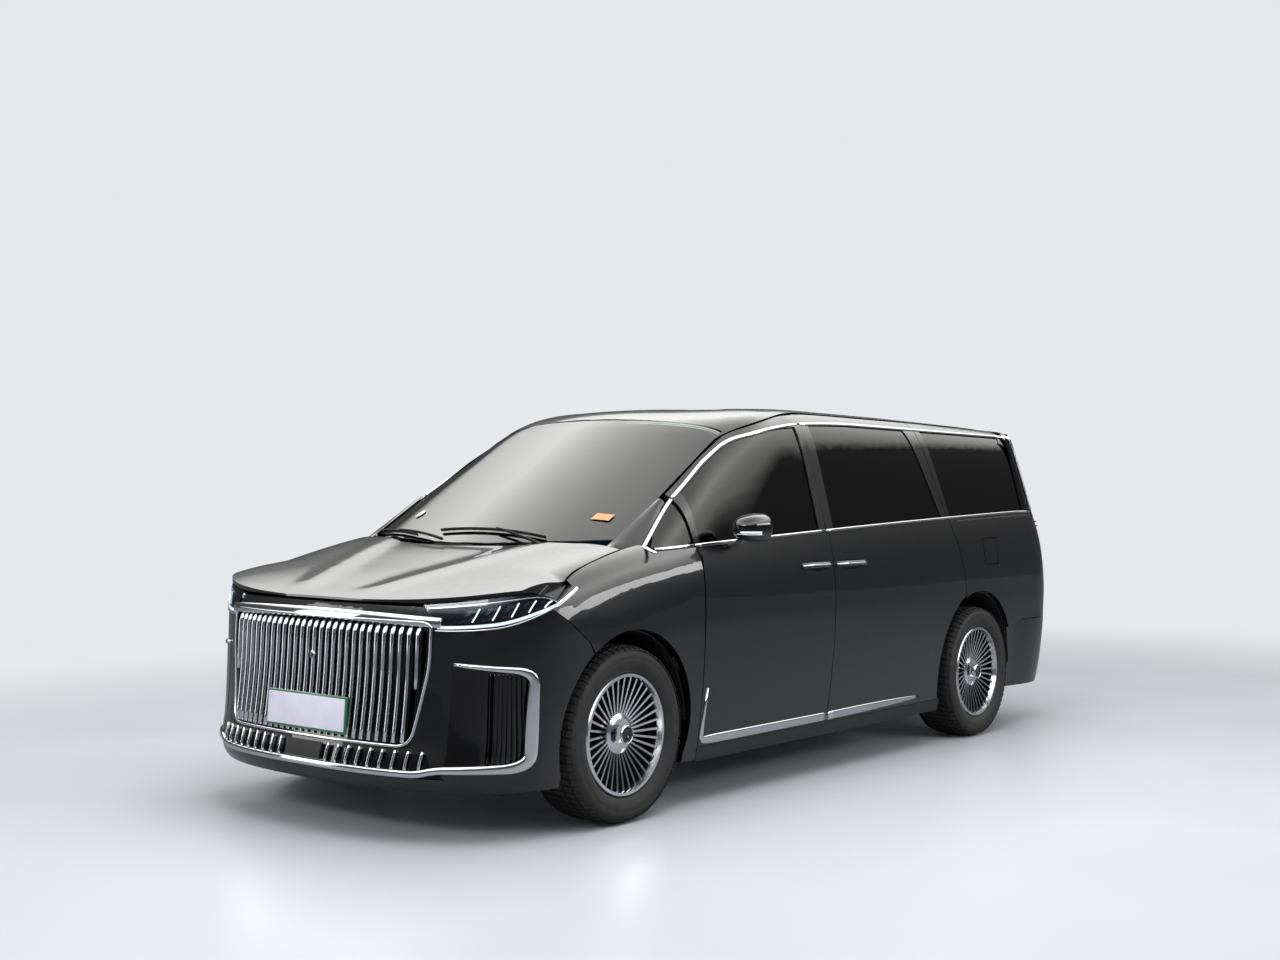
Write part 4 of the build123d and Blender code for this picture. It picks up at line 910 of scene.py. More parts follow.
belt_parts = (("quarterlight", -1478, -1230), ("front_door", -1216, -156), ("rear", -144, 2262))
arc_parts = (("pillar", -1548, -1228), ("front_door", -1214, -156))
rear_drop = [
    (2145, 1743), (2185, 1738), (2212, 1722), (2226, 1690), (2240, 1640),
    (2262, 1540), (2284, 1420), (2300, 1320), (2304, 1292),
]
spear = [(-1186, 516), (-1194, 440), (-1201, 360), (-1204, 300), (-1190, 286), (-1150, 283)]
for side, hand in sides:
    door_body = f"front_door_{side}"
    for part, start, end in belt_parts:
        pairs = [(y, belt_z(y) + 6) for y in steps(start, end, max(6, int((end - start) / 45)))]
        body = door_body if part == "front_door" else "body"
        trim_line(f"belt_chrome_{part}_{side}", body, pairs, half_round(13, 5, 5), hand)
    for part, start, end in arc_parts:
        pairs = [(y, arc_z(y)) for y in steps(start, end, int((end - start) / 30))]
        body = door_body if part == "front_door" else "body"
        trim_line(f"arc_chrome_{part}_{side}", body, pairs, half_round(17, 5, 5), hand)
    pairs = [(y, arc_z(y)) for y in steps(-144, 2100, 50)] + rear_drop
    trim_line(f"arc_chrome_rear_{side}", "body", pairs, half_round(19, 5, 5), hand)

    def spear_section(share):
        return flat_strip(9 + 33 * min(share / 0.2, 1.0), 5, 5)

    def tail_section(share):
        return flat_strip(42 - 30 * share**3, 5, 5)

    pairs = spear + [(y, 283) for y in steps(-1090, -156, 22)]
    trim_line(f"sill_chrome_front_{side}", door_body, pairs, spear_section, hand)
    pairs = [(y, 283 + 10 * (y + 144) / 900) for y in steps(-144, 770, 22)]
    trim_line(f"sill_chrome_rear_{side}", "body", pairs, tail_section, hand)
    # The rail's slot is not cut: a thin dark strip on the skin paints the shade inside it.
    pairs = [(y, belt_z(y) - 17) for y in steps(1240, 2250, 24)]
    slot_section = half_round(9, 1.5, 3)
    trim_line(f"slide_rail_slot_shade_{side}", "body", pairs, slot_section, hand, side_x, 0.0, rubber_and_painted_shade)
print("window and sill lines laid")

# %% [markdown]
# ## Door handles
# The two handles on each side meet across the door gap: a bright bar over a dark hand recess. The front one
# rides on its door.

# %% Handles
for side, hand in sides:
    handle_parts = (("front", -434, -168, f"front_door_{side}"), ("sliding", -122, 176, "body"))
    for door, start, end, body in handle_parts:

        def cup(u, v, hand=hand, start=start, end=end):
            y = between(start + 40, end - 40, u)
            depth = 52 * math.sin(math.pi * (0.06 + 0.88 * u)) ** 0.5
            return side_point(y, 1028 + (v - 0.5) * depth, 1.0, hand, side_x)

        sheet(f"handle_recess_{door}_{side}", body, cup, 16, 6, 3, gloss_plastic)
        found = []
        for share in steps(0, 1, 24):
            point, normal = side_point(between(start, end, share), 1030, 0.5, hand, side_x)
            found.append((point + normal * 22 * min(1, 5 * share, 5 * (1 - share)), normal))
        strip(f"handle_{door}_{side}", body, found, half_round(26, 8, 8), gloss_plastic)
        edge = [(point + normal * 5, normal) for point, normal in found]
        strip(f"handle_chrome_{door}_{side}", body, edge, half_round(8, 5, 2))
print("handles laid")

# %% [markdown]
# ## Repeats about an axle
# Tread blocks and the holes of a brake disc repeat round a wheel. One small shape is drawn, and a Geometry
# Nodes tree sets copies of it round the axle: a line of points gives the count, each point's index gives the
# turn, and the copies are made real and given their material. An array modifier could do the same, but needs
# an empty to turn by.

# %% Tree that repeats a shape round an axle
def ring_tree():
    """Geometry Nodes group that copies a shape round the X axis and gives it a material."""
    tree = bpy.data.node_groups.new("repeat_round_axle", "GeometryNodeTree")
    tree.interface.new_socket("Geometry", in_out="INPUT", socket_type="NodeSocketGeometry")
    tree.interface.new_socket("Count", in_out="INPUT", socket_type="NodeSocketInt")
    tree.interface.new_socket("Material", in_out="INPUT", socket_type="NodeSocketMaterial")
    tree.interface.new_socket("Geometry", in_out="OUTPUT", socket_type="NodeSocketGeometry")
    given = add(tree, "NodeGroupInput")
    line = add(tree, "GeometryNodeMeshLine", {"Count": given.outputs["Count"]})
    line.inputs["Offset"].default_value = (0, 0, 0)
    step = add(tree, "ShaderNodeMath", {1: given.outputs["Count"]}, operation="DIVIDE")
    step.inputs[0].default_value = 2 * math.pi
    index = add(tree, "GeometryNodeInputIndex")
    turn = add(tree, "ShaderNodeMath", {0: index.outputs[0], 1: step.outputs[0]}, operation="MULTIPLY")
    about = add(tree, "ShaderNodeCombineXYZ", {"X": turn.outputs[0]})
    links = {"Points": line.outputs[0], "Instance": given.outputs["Geometry"], "Rotation": about.outputs[0]}
    copies = add(tree, "GeometryNodeInstanceOnPoints", links)
    real = add(tree, "GeometryNodeRealizeInstances", {"Geometry": copies.outputs[0]})
    links = {"Geometry": real.outputs[0], "Material": given.outputs["Material"]}
    coloured = add(tree, "GeometryNodeSetMaterial", links)
    add(tree, "NodeGroupOutput", {"Geometry": coloured.outputs[0]})
    return tree


axle_ring = ring_tree()


def ring_of(name, body, points, faces, count, centre, made_of):
    """Copies of a small shape round a wheel's axle; its points are measured from the wheel's centre."""
    made = piece(name, None, points, faces, made_of)
    repeat = made.modifiers.new("ring", "NODES")
    repeat.node_group = axle_ring
    for socket in axle_ring.interface.items_tree:
        if socket.name == "Count":
            repeat[socket.identifier] = count
        if socket.name == "Material":
            repeat[socket.identifier] = made_of
    baked(made)
    made.data.transform(Matrix.Translation([c / 1000 for c in centre]))
    made.data.set_sharp_from_angle(angle=math.radians(40))
    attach(made, body)
    return made


# %% [markdown]
# ## Tyres
# A tyre is a moulded carcass with a bulging side wall, and a belt of tread blocks in five ribs. The carcass
# is turned from one profile; a pitch of tread is one small group of blocks repeated 66 times round it.

# %% Carcass and tread
side_wall = [
    (104, 258), (112, 264), (116, 272), (122, 284), (126, 300), (127, 312), (125.5, 318), (127, 322),
    (124, 336), (118, 349), (108, 357), (92, 360), (60, 361.5), (0, 362),
]
inner_wall = [(-96, 268), (-104, 300), (0, 340), (104, 300), (96, 268)]
carcass = side_wall + [(-x, r) for x, r in side_wall[-2::-1]] + inner_wall
pitches = 66
corners = {
    "front_left": (1, front_axle_y), "front_right": (-1, front_axle_y),
    "rear_left": (1, rear_axle_y), "rear_right": (-1, rear_axle_y),
}


def tread_pitch():
    """Five blocks of one pitch of the tread, slanted as on the tyre."""
    points, faces = [], []
    rows = [(-122, -92, 15, 9), (-84, -44, 9, 3), (-36, 36, 3, -3), (44, 84, -3, -9), (92, 122, -9, -15)]
    for x0, x1, shift0, shift1 in rows:
        start = len(points)
        for radius, ease in ((352, 0.0), (369 if abs(x0 + x1) < 200 else 366, 1.2)):
            for x, shift, end in ((x0, shift0, -1), (x1, shift1, -1), (x1, shift1, 1), (x0, shift0, 1)):
                drop = 10 if abs(x) > 120 and radius > 352 else 0
                angle = (shift + end * (14.5 - ease)) / 369
                inner = x - ease * math.copysign(1, x - (x0 + x1) / 2)
                points.append((inner, (radius - drop) * math.sin(angle), (radius - drop) * math.cos(angle)))
        faces += [(start, start + 3, start + 2, start + 1), (start + 4, start + 5, start + 6, start + 7)]
        faces += quads(2, 4, wrap_columns=True, start=start)
    return points, faces


tread_points, tread_faces = tread_pitch()
for corner, (hand, axle_y) in corners.items():
    centre = (hand * track_half, axle_y, tyre_radius)
    body = f"wheel_{corner}"
    wall = turned(f"tyre_wall_{corner}", body, centre, carcass, tyre_rubber, hand, 112)
    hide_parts(f"tyre_{corner}")
    belt = ring_of(f"tyre_tread_{corner}", body, tread_points, tread_faces, pitches, centre, tyre_rubber)
print("tread pitch", len(tread_faces), "faces,", pitches, "pitches")

# %% [markdown]
# ## Wheels and brakes
# Behind the spokes sits a ventilated brake disc with a ring of holes and a caliper that grips its rear edge.
# The hub carries a plain dark cap in a bright ring.

# %% Caps, discs and calipers
def rounded_disc(x, radius, depth):
    """Profile of a disc with a soft edge, as (axle distance, radius)."""
    edge = [(x, radius - 2), (x - 0.8, radius - 0.6), (x - 2, radius), (x - depth, radius)]
    return [(x, 0.01)] + edge + [(x - depth, 0.01)]


ring_profile = [(113, 34), (116, 35), (116, 38), (112, 40), (108, 40), (108, 34)]
disc = [(-14, 92), (-14, 168), (-15, 169), (-24, 169), (-40, 169), (-41, 168), (-41, 92)]
grip = [
    (-6, 118), (4, 128), (4, 176), (-8, 186), (-48, 186), (-54, 178),
    (-54, 120), (-46, 116), (-46, 174), (-9, 174), (-9, 118),
]
caliper_arc = [math.radians(a) for a in steps(-28, 28, 16)]
# The disc's holes are not cut: each is a thin dark disc on the disc's face, painted shade where a hole would
# be.
hole_radius, hole_sides, hole_columns = 3.6, 8, 30
hole_points, hole_faces = [], []
for row, radius in enumerate((112, 134, 156)):
    start = len(hole_points)
    lean = Matrix.Rotation(row * 0.045, 3, "X")
    for x in (-12.3, -13.5):
        for a in circle(hole_sides):
            place = Vector((x, hole_radius * math.cos(a), radius + hole_radius * math.sin(a)))
            hole_points.append(tuple(lean @ place))
    hole_faces += tube_faces(2, hole_sides, start)
for corner, (hand, axle_y) in corners.items():
    centre = (hand * track_half, axle_y, tyre_radius)
    body = f"wheel_{corner}"
    turned(f"hub_cap_{corner}", body, centre, rounded_disc(115, 33, 14), gloss_plastic, hand, 48)
    ring = turned(f"hub_ring_{corner}", body, centre, ring_profile, chrome, hand, 64)
    turned(f"brake_disc_{corner}", body, centre, disc, brake_iron, hand, 96)
    mirrored_holes = [(hand * x, y, z) for x, y, z in hole_points]
    turned_faces = hole_faces if hand > 0 else [tuple(reversed(f)) for f in hole_faces]
    # Painted shade: dark discs on the disc's face stand for its holes.
    ring_of(f"disc_hole_shade_{corner}", body, mirrored_holes, turned_faces, hole_columns, centre, rubber_and_painted_shade)
    points = [axle_point(centre, hand * x, radius, angle) for angle in caliper_arc for x, radius in grip]
    faces = tube_faces(len(caliper_arc), len(grip))
    holder = corner.replace("front", "knuckle") if "front" in corner else "body"
    caliper = outward(piece(f"brake_caliper_{corner}", holder, points, faces, coated_steel))
    caliper.data.set_sharp_from_angle(angle=math.radians(40))
print("wheels finished")

# %% [markdown]
# ## Door mirrors
# The mirror's shell is a gloss moulding, domed forwards and cut flat at the back, with a bright strip across
# its lower third and a repeater lens. It stands on a short foot. It is a formula in two directions, so the
# strip is laid on the very surface it decorates.

# %% Mirror shell, strip, glass and foot
mirror_x, mirror_z, mirror_rear = 1064.0, 1221.0, -934.0
mirror_half_x, mirror_half_z = 81, 65
shell_sides, foot_sides = 48, 20
# The foot's sections as (x, y, z, half its length, half its height).
foot = [
    (972, -1018, 1136, 30, 9), (984, -1018, 1140, 29, 10),
    (1004, -1014, 1152, 27, 12), (1030, -1008, 1170, 26, 14),
]


def shell_y(x, z):
    """Front surface of the mirror's shell."""
    across = abs(x - mirror_x) / mirror_half_x
    up = abs(z - mirror_z) / mirror_half_z
    share = min((across**2.5 + up**2.5) ** (1 / 2.5), 0.9999)
    return mirror_rear - 148 * (1 - share**2.6) ** (1 / 2.1)


def shell_point(x, z, hand):
    """Point on the mirror's shell, and the shell's outward direction there."""
    slope_x = (shell_y(x + 1, z) - shell_y(x - 1, z)) / 2
    slope_z = (shell_y(x, z + 1) - shell_y(x, z - 1)) / 2
    mirrored = [hand, 1, 1]
    return np.array([x, shell_y(x, z), z]) * mirrored, unit(slope_x, -1.0, slope_z) * mirrored


def drawn_in(ring, middle_x, share_x, share_z, y):
    """The shell's outline, drawn in towards its middle and moved to a place y."""
    return [(middle_x + (x - middle_x) * share_x, y, mirror_z + (z - mirror_z) * share_z) for x, _, z in ring]


for side, hand in sides:
    door = f"front_door_{side}"
    rings = []
    for share in [math.sin(math.radians(a)) for a in steps(2, 90, 16)]:
        ring = []
        for a in circle(shell_sides):
            x = mirror_x + mirror_half_x * share * math.copysign(abs(math.cos(a)) ** 0.8, math.cos(a))
            z = mirror_z + mirror_half_z * share * math.copysign(abs(math.sin(a)) ** 0.8, math.sin(a))
            ring.append((hand * x, shell_y(x, z), z))
        rings.append(ring)
    rim = drawn_in(rings[-1], hand * mirror_x, 0.93, 0.92, mirror_rear + 3)
    well = [(x, mirror_rear - 9, z) for x, y, z in rim]
    points = [p for ring in rings + [rim, well] for p in ring]
    faces = tube_faces(len(rings) + 2, shell_sides)
    shell = outward(piece(f"mirror_shell_{side}", door, points, faces, gloss_plastic))
    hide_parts(f"mirror_{side}")
    glass_points = []
    for y in (-1, -6):
        glass_points += drawn_in(well, hand * mirror_x, 0.985, 0.985, mirror_rear + y)
    outward(piece(f"mirror_glass_{side}", door, glass_points, tube_faces(2, shell_sides), lamp_reflector))
    found = [shell_point(x, 1192, hand) for x in steps(mirror_x - 70, mirror_x + 70, 40)]
    strip(f"mirror_strip_{side}", door, found, flat_strip(8, 3, 2))
    found = [shell_point(x, 1202, hand) for x in steps(mirror_x + 5, mirror_x + 71, 24)]
    strip(f"mirror_repeater_{side}", door, found, flat_strip(7, 2, 2), lamp_light_guide, "lamp_glass")
    points = []
    for x, y, z, half_y, half_z in foot:
        for a in circle(foot_sides):
            points.append((hand * x, y + half_y * math.cos(a), z + half_z * math.sin(a)))
    faces = tube_faces(len(foot), foot_sides)
    outward(piece(f"mirror_foot_{side}", door, points, faces, gloss_plastic))
print("mirrors finished")

# %% [markdown]
# ## Bonnet
# The pressed bonnet has two creases that run from the nose out to the windscreen's corners, and its edge
# stays high over the lamps. Both show in every reflection, so the plain CAD panel is replaced by a finer
# one with the same outline, hinge and thickness.

# %% Pressed bonnet with creases
edge_table = [
    (lamp_tip_y - 20, 905), (lamp_tip_y + 90, 874), (front_axle_y - 120, 862),
    (front_axle_y + 90, 848), (front_axle_y + 230, 848), (door_front_y, 890),
]
rear_table = [(0, -1830.5), (250, -1804.5), (500, -1736.5), (700, -1670.5), (848, -1644.5)]
bonnet_rows, bonnet_columns = 61, 65


def bonnet_half(y):
    """Half width of the bonnet's outline at a place along it."""
    if y > lamp_tip_y:
        return smooth(edge_table, y) - 8
    low, high = 0.0, 905.0
    for _ in range(30):
        x = (low + high) / 2
        if nose_at(x, 935) + 3 < y:
            low = x
        else:
            high = x
    return min(low, 897.0)


def bonnet_points(thick):
    """Rows of points over the bonnet, lowered by a thickness."""
    points = []
    front = -2545.0
    for r in range(bonnet_rows):
        for c in range(bonnet_columns):
            u = math.sin(math.radians(between(-90, 90, c / (bonnet_columns - 1))))
            rear = smooth(rear_table, abs(u * 840))
            y = between(front, rear, (r / (bonnet_rows - 1)) ** 1.15)
            x = u * bonnet_half(max(y, front + 1.5))
            points.append((x, y, pressed_z(x, y) - thick))
    return points


def lip_foot(x, y):
    """How far down the bonnet's edge is turned, over the grille, the lamps and the fenders."""
    if y > lamp_tip_y:
        return bonnet_z(x, y) - 11
    return max(923.5, lamp_top(max(y, -2503.0)) + 4)


points = bonnet_points(0) + bonnet_points(11)
count = bonnet_rows * bonnet_columns
faces = quads(bonnet_rows, bonnet_columns)
faces += [tuple(count + i for i in reversed(face)) for face in faces]
rim = grid_rim(bonnet_rows, bonnet_columns)
outer_lip, inner_lip = [], []
for index in rim:
    x, y, z = points[index]
    foot_z = z - 9
    if index < count - bonnet_columns:
        foot_z = min(lip_foot(x, y), foot_z)
    inward = Vector((-x, -1900 - y)).normalized() * 7
    outer_lip.append((x, y, foot_z))
    inner_lip.append((x + inward.x, y + inward.y, max(foot_z, z - 200)))
points += outer_lip + inner_lip
outer_start, inner_start = 2 * count, 2 * count + len(rim)
for k, index in enumerate(rim):
    n = (k + 1) % len(rim)
    faces.append((index, rim[n], outer_start + n, outer_start + k))
    faces.append((outer_start + k, outer_start + n, inner_start + n, inner_start + k))
    faces.append((inner_start + k, inner_start + n, count + rim[n], count + index))
pressed_bonnet = outward(piece("pressed_bonnet", "bonnet", points, faces, black_paint))
pressed_bonnet.data.set_sharp_from_angle(angle=math.radians(50))
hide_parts("bonnet")
print("bonnet", len(faces), "faces")

# %% [markdown]
# ## Windscreen fittings
# Two wipers park along the foot of the windscreen. A camera housing is stuck behind its top edge, and two
# small films sit in its lower corners. Dark foot panels close the corners between screen and fender.

# %% Wipers, housing, films and pillar foot
def screen_way(start, end, share):
    """Place (x, y) at a share of the way between two places."""
    return between(start[0], end[0], share), between(start[1], end[1], share)


def arm_section(share):
    """A wiper arm's section, slimmer towards the blade."""
    return half_round(11 - 5 * share, 6, 6)


# Each wiper's blade from start to end, and its arm's pivot, as (x, y) on the screen.
wipers = (
    ("near", (463, -1690), (-150, -1722), (560, -1752)),
    ("far", (-286, -1742), (-690, -1600), (-60, -1800)),
)
for name, start, end, pivot in wipers:
    blade = [screen_point(*screen_way(start, end, t), 9) for t in steps(0, 1, 24)]
    strip(f"wiper_blade_{name}", "body", blade, half_round(7, 7, 7), rubber_and_painted_shade)
    grip_at = screen_way(start, end, 0.45)
    arm = [screen_point(*screen_way(pivot, grip_at, t), 17) for t in steps(0, 1, 16)]
    strip(f"wiper_arm_{name}", "body", arm, arm_section, rubber_and_painted_shade)


def housing(u, v):
    """The camera housing behind the screen's top edge."""
    return screen_point(between(-1, 1, v) * between(52, 96, u), between(-1010, -905, u), -12)


sheet("screen_camera_housing", "body", housing, 8, 10, 3, soft_trim)


def band(u, v):
    """The dark band along the inside of the screen's top edge."""
    return screen_point(between(-655, 655, v), between(-800, -740, u) - 18 * abs(2 * v - 1) ** 2, -8)


sheet("screen_top_band", "body", band, 4, 40, 2, rubber_and_painted_shade)


def corner_film(u, v):
    """The film in the screen's lower left corner."""
    return screen_point(between(568, 650, v), between(-1512, -1470, u) + 24 * v, 1.2)


sheet("orange_film", "body", corner_film, 3, 4, 1, orange_film)
film_radius, film_sides = 24, 24
film_points = []
for out in (1.2, 0.2):
    for a in circle(film_sides):
        x, y = -506 + film_radius * math.cos(a), -1522 + film_radius * math.sin(a)
        film_points.append(screen_point(x, y, out)[0])
outward(piece("round_film", "body", film_points, tube_faces(2, film_sides), white_film))
for side, hand in sides:

    def pillar_foot(u, v, hand=hand):
        y = between(-1640, -1262, u)
        outer_z = max(arc_z(y) + 8, belt_z(y) + 2)
        outer, outer_n = side_point(y, outer_z, -2, 1)
        inner, inner_n = screen_point(between(748, 752, u), y - 6, 2)
        point = inner + (outer - inner) * v
        normal = unit(*(inner_n * (1 - v) + outer_n * v))
        bulge = 10 * math.sin(math.pi * v)
        return (point + normal * bulge) * [hand, 1, 1], normal * [hand, 1, 1]

    sheet(f"pillar_foot_{side}", "body", pillar_foot, 14, 6, 3, black_paint)
print("windscreen fittings laid")

# %% [markdown]
# ## Seats
# The cabin has two front seats, two captain's chairs with armrests and a rear bench. Each pad is a crowned
# closed form under leather: it starts as a rounded block, is pushed out in its middle, and is drawn in along
# its sewn channels. The form is set by a formula, not by a cloth simulation. Stitches aren't modelled.

# %% A padded form with sewn channels
def pad(name, centre, size, tilt, channels, made_of, crown=14.0, radius=34.0, cells=18):
    """A cushion: size in mm, tilt about X in radians, channels as shares of its width."""
    half = np.array(size, float) / 2
    shape = bmesh.new()
    bmesh.ops.create_cube(shape, size=2.0)
    bmesh.ops.subdivide_edges(shape, edges=shape.edges, cuts=cells, use_grid_fill=True)
    turn = Matrix.Rotation(tilt, 3, "X")
    for vertex in shape.verts:
        place = np.array(vertex.co) * half
        core = np.clip(place, -(half - radius), half - radius)
        away = place - core
        length = np.linalg.norm(away)
        if length > 1e-6:
            place = core + away / length * min(length, radius)
        share = place / half
        swell_up = crown * (1 - share[0] ** 2) * (1 - share[1] ** 2)
        swell_along = 0.4 * crown * (1 - share[0] ** 2) * (1 - share[2] ** 2)
        place[2] += swell_up * share[2]
        place[1] += swell_along * share[1]
        for channel in channels:
            groove = 7 * math.exp(-(((share[0] - channel) * half[0] / 6.5) ** 2))
            place[2] -= groove * max(share[2], 0)
            place[1] -= groove * share[1] * 0.7
        vertex.co = (turn @ Vector(place) + Vector(centre)) / 1000
    mesh = bpy.data.meshes.new(name)
    shape.to_mesh(mesh)
    shape.free()
    mesh.materials.append(made_of)
    mesh.shade_smooth()
    made = bpy.data.objects.new(name, mesh)
    bpy.context.scene.collection.objects.link(made)
    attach(made, "body")
    return made


def seat(name, x, front_y, floor_z, top_z, width, length, back_height, rake, arms):
    """One seat: plinth, cushion, back, bolsters, headrest and, on a captain's chair, armrests."""
    made = []
    cushion_z, middle_y = top_z - 62, front_y + length / 2
    plinth_height = cushion_z - 50 - floor_z
    pleats = (-0.5, -0.17, 0.17, 0.5)
    plinth_at = (x, front_y + length * 0.52, (floor_z + cushion_z - 50) / 2)
    block(f"{name}_plinth", "body", plinth_at, (width * 0.72, length * 0.7, plinth_height), soft_trim, 18)
    cushion = (width - 150, length, 118)
    made.append(pad(f"{name}_cushion", (x, middle_y, cushion_z), cushion, 0.05, pleats, leather))
    for hand in (-1, 1):
        at = (x + hand * (width / 2 - 45), middle_y, cushion_z + 8)
        bolster = f"{name}_cushion_bolster_{hand + 1}"
        made.append(pad(bolster, at, (88, length, 140), 0.05, (), leather, 8, 40, 12))
    up = np.array([0, math.sin(rake), math.cos(rake)])
    base = np.array([x, front_y + length - 46, top_z - 24])
    middle = base + up * back_height / 2
    lean = math.pi / 2 - rake
    made.append(pad(f"{name}_back", middle, (width - 170, back_height, 120), lean, pleats, leather))
    for hand in (-1, 1):
        at = middle + [hand * (width / 2 - 62), -8, 0]
        bolster = f"{name}_back_bolster_{hand + 1}"
        made.append(pad(bolster, at, (92, back_height - 20, 150), lean, (), leather, 8, 42, 12))
    head = base + up * (back_height + 92)
    made.append(pad(f"{name}_headrest", head, (250, 150, 100), lean, (), leather, 12, 40, 12))
    forward = np.array([0, -up[2], up[1]])
    for hand in (-1, 1):
        post = [base + up * (back_height - 30 + 60 * t) + [hand * 60, 0, 0] for t in steps(0, 1, 4)]
        found = [(point, forward) for point in post]
        strip(f"{name}_headrest_post_{hand + 1}", "body", found, half_round(12, 8, 6), satin_chrome)
    shell_size = (width - 60, 26, back_height - 40)
    block(f"{name}_back_shell", "body", middle - 68 * forward, shell_size, soft_trim, 12, -rake)
    if arms:
        for hand in (-1, 1):
            arm = (x + hand * (width / 2 + 8), front_y + length * 0.55, top_z + 128)
            made.append(pad(f"{name}_armrest_{hand + 1}", arm, (84, 380, 64), 0.0, (), leather, 5, 28, 10))
            at = (arm[0], arm[1] + 30, top_z + 40)
            block(f"{name}_arm_panel_{hand + 1}", "body", at, (52, 300, 150), soft_trim, 14)
    return made


front_pads = []
for side, hand in sides:
    front_pads += seat(f"front_seat_{side}", hand * 370, -762, 245, 560, 500, 540, 560, 0.33, False)
middle_pads = []
for side, hand in sides:
    middle_pads += seat(f"captain_chair_{side}", hand * 400, 200, 245, 560, 430, 540, 580, 0.36, True)
bench_pads = []
bench_pleats, bench_lean = (-0.5, 0, 0.5), math.pi / 2 - 0.3
for number, x in enumerate((-360, 0, 360)):
    cushion, back, head = ((x, 1390, 520), (x, 1700, 830), (x, 1795, 1108))
    bench_pads += [
        pad(f"bench_cushion_{number}", cushion, (352, 470, 130), 0.05, bench_pleats, leather),
        pad(f"bench_back_{number}", back, (352, 540, 130), bench_lean, bench_pleats, leather),
        pad(f"bench_headrest_{number}", head, (240, 120, 90), bench_lean, (), leather, 10, 36, 12),
    ]
block("bench_base", "body", (0, 1400, 420), (1040, 430, 70), soft_trim, 14)
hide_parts("front_seats")
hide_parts("rear_seats")
print(len(front_pads) + len(middle_pads) + len(bench_pads), "pads")

# %% [markdown]
# ## Cabin
# A band of displays runs along the top of the dashboard and a console divides the front seats. The steering
# wheel has a padded centre. The doors' inner faces are trimmed with an armrest, and each lining rides on its
# own door.

# %% Displays, console and door linings
display_tilt = math.radians(-14)
block("display_band", "body", (-40, -1080, 1112), (1150, 14, 128), display, 5, display_tilt)
block("display_frame", "body", (-40, -1070, 1110), (1166, 12, 142), gloss_plastic, 6, display_tilt)
block("centre_console", "body", (0, -640, 470), (210, 640, 330), soft_trim, 26)
block("console_lid", "body", (0, -520, 645), (190, 330, 30), dark_leather, 13)
block("console_strip", "body", (0, -800, 640), (150, 200, 12), gloss_plastic, 5)
tilt = math.radians(24)
pad_at = Vector((370, -802, 985)) + Vector((0, 26 * math.cos(tilt), 26 * math.sin(tilt)))
block("steering_wheel_pad", "steering_wheel", pad_at, (150, 34, 118), dark_leather, 15, tilt)
for side, hand in sides:
    linings = (("front", -1150, -190, f"front_door_{side}"), ("sliding", -60, 900, "body"))
    for door, start, end, body in linings:

        def lining(u, v, hand=hand, start=start, end=end):
            y = between(start, end, u)
            point, normal = side_point(y, between(330, 1060, v), -94, hand, side_x)
            return point - normal * (4 + 10 * math.sin(math.pi * v) ** 2), -normal

        sheet(f"lining_{door}_{side}", body, lining, 20, 16, 3, soft_trim)

        def arm(u, v, hand=hand, start=start, end=end):
            y = between(start + 260, end - 120, u)
            point, normal = side_point(y, between(700, 790, v), -94, hand, side_x)
            rounding = math.sin(math.pi * v) ** 0.6 * math.sin(math.pi * u) ** 0.3
            return point - normal * (12 + 46 * rounding), -normal

        sheet(f"door_armrest_{door}_{side}", body, arm, 20, 10, 3, leather)
print("cabin trimmed")

# %% [markdown]
# ## Tail
# The tail gets what such a vehicle has and nothing more: a full-width lamp across the tailgate between the
# corner lamps, a blank plate in a recess, a bright handle strip over it, a heater band in the rear window,
# reflectors and a low bright strip on the bumper.

# %% Tail lamps, plate and bumper strip
def tail_patch(name, body, x0, x1, z0, z1, out, thickness, made_of, columns=30):
    """A thin sheet over the tail between two places across and two heights."""

    def rule(u, v):
        return tail_point(between(x0, x1, u), between(z0, z1, v), out)

    sheet(name, body, rule, columns, 6, thickness, made_of)


def tail_line(x0, x1, z, out, count):
    """Points and outward directions across the tail at one height."""
    return [tail_point(x, z, out) for x in steps(x0, x1, count)]


tail_patch("tail_light_bar", "tailgate", -728, 728, 1176, 1242, 4, 5, red_lens, 60)
for name, z in (("low", 1171), ("high", 1247)):
    strip(f"tail_bar_chrome_{name}", "tailgate", tail_line(-728, 728, z, 2, 60), half_round(6, 4, 4))
tail_patch("rear_plate_recess", "tailgate", -290, 290, 850, 1030, 1.5, 4, gloss_plastic, 20)
tail_patch("rear_plate", "tailgate", -240, 240, 868, 1002, 8, 5, plate_face, 16)
strip("tailgate_handle_strip", "tailgate", tail_line(-300, 300, 1046, 3, 30), flat_strip(24, 7, 5))
tail_patch("rear_window_heater_band", "tailgate", -600, 600, 1302, 1322, -9, 1, rubber_and_painted_shade, 30)
strip("rear_bumper_chrome", "body", tail_line(-760, 760, 330, 2, 60), flat_strip(22, 6, 5))
for side, hand in sides:
    tail_patch(f"rear_reflector_{side}", "body", hand * 560, hand * 720, 430, 462, 3, 5, red_lens, 12)
    for z in (1195, 1222):
        rib = tail_line(hand * 752, hand * 900, z, 2, 14)
        strip(f"tail_lamp_rib_{side}_{z}", "body", rib, half_round(7, 3, 4), red_lens)
print("tail finished")

# %% [markdown]
# ## Studio
# Black paint is drawn by its surroundings, so the vehicle stands in a plain white studio: a pale floor, a
# large soft light overhead and tall soft lights at the side and the front. What mirrors see is a separate,
# contrasting sky: dark round the horizon, so that the paint stays deep, and bright overhead, where a studio
# has its lit ceiling. The backdrop the camera sees is plain white and the floor fades into it.

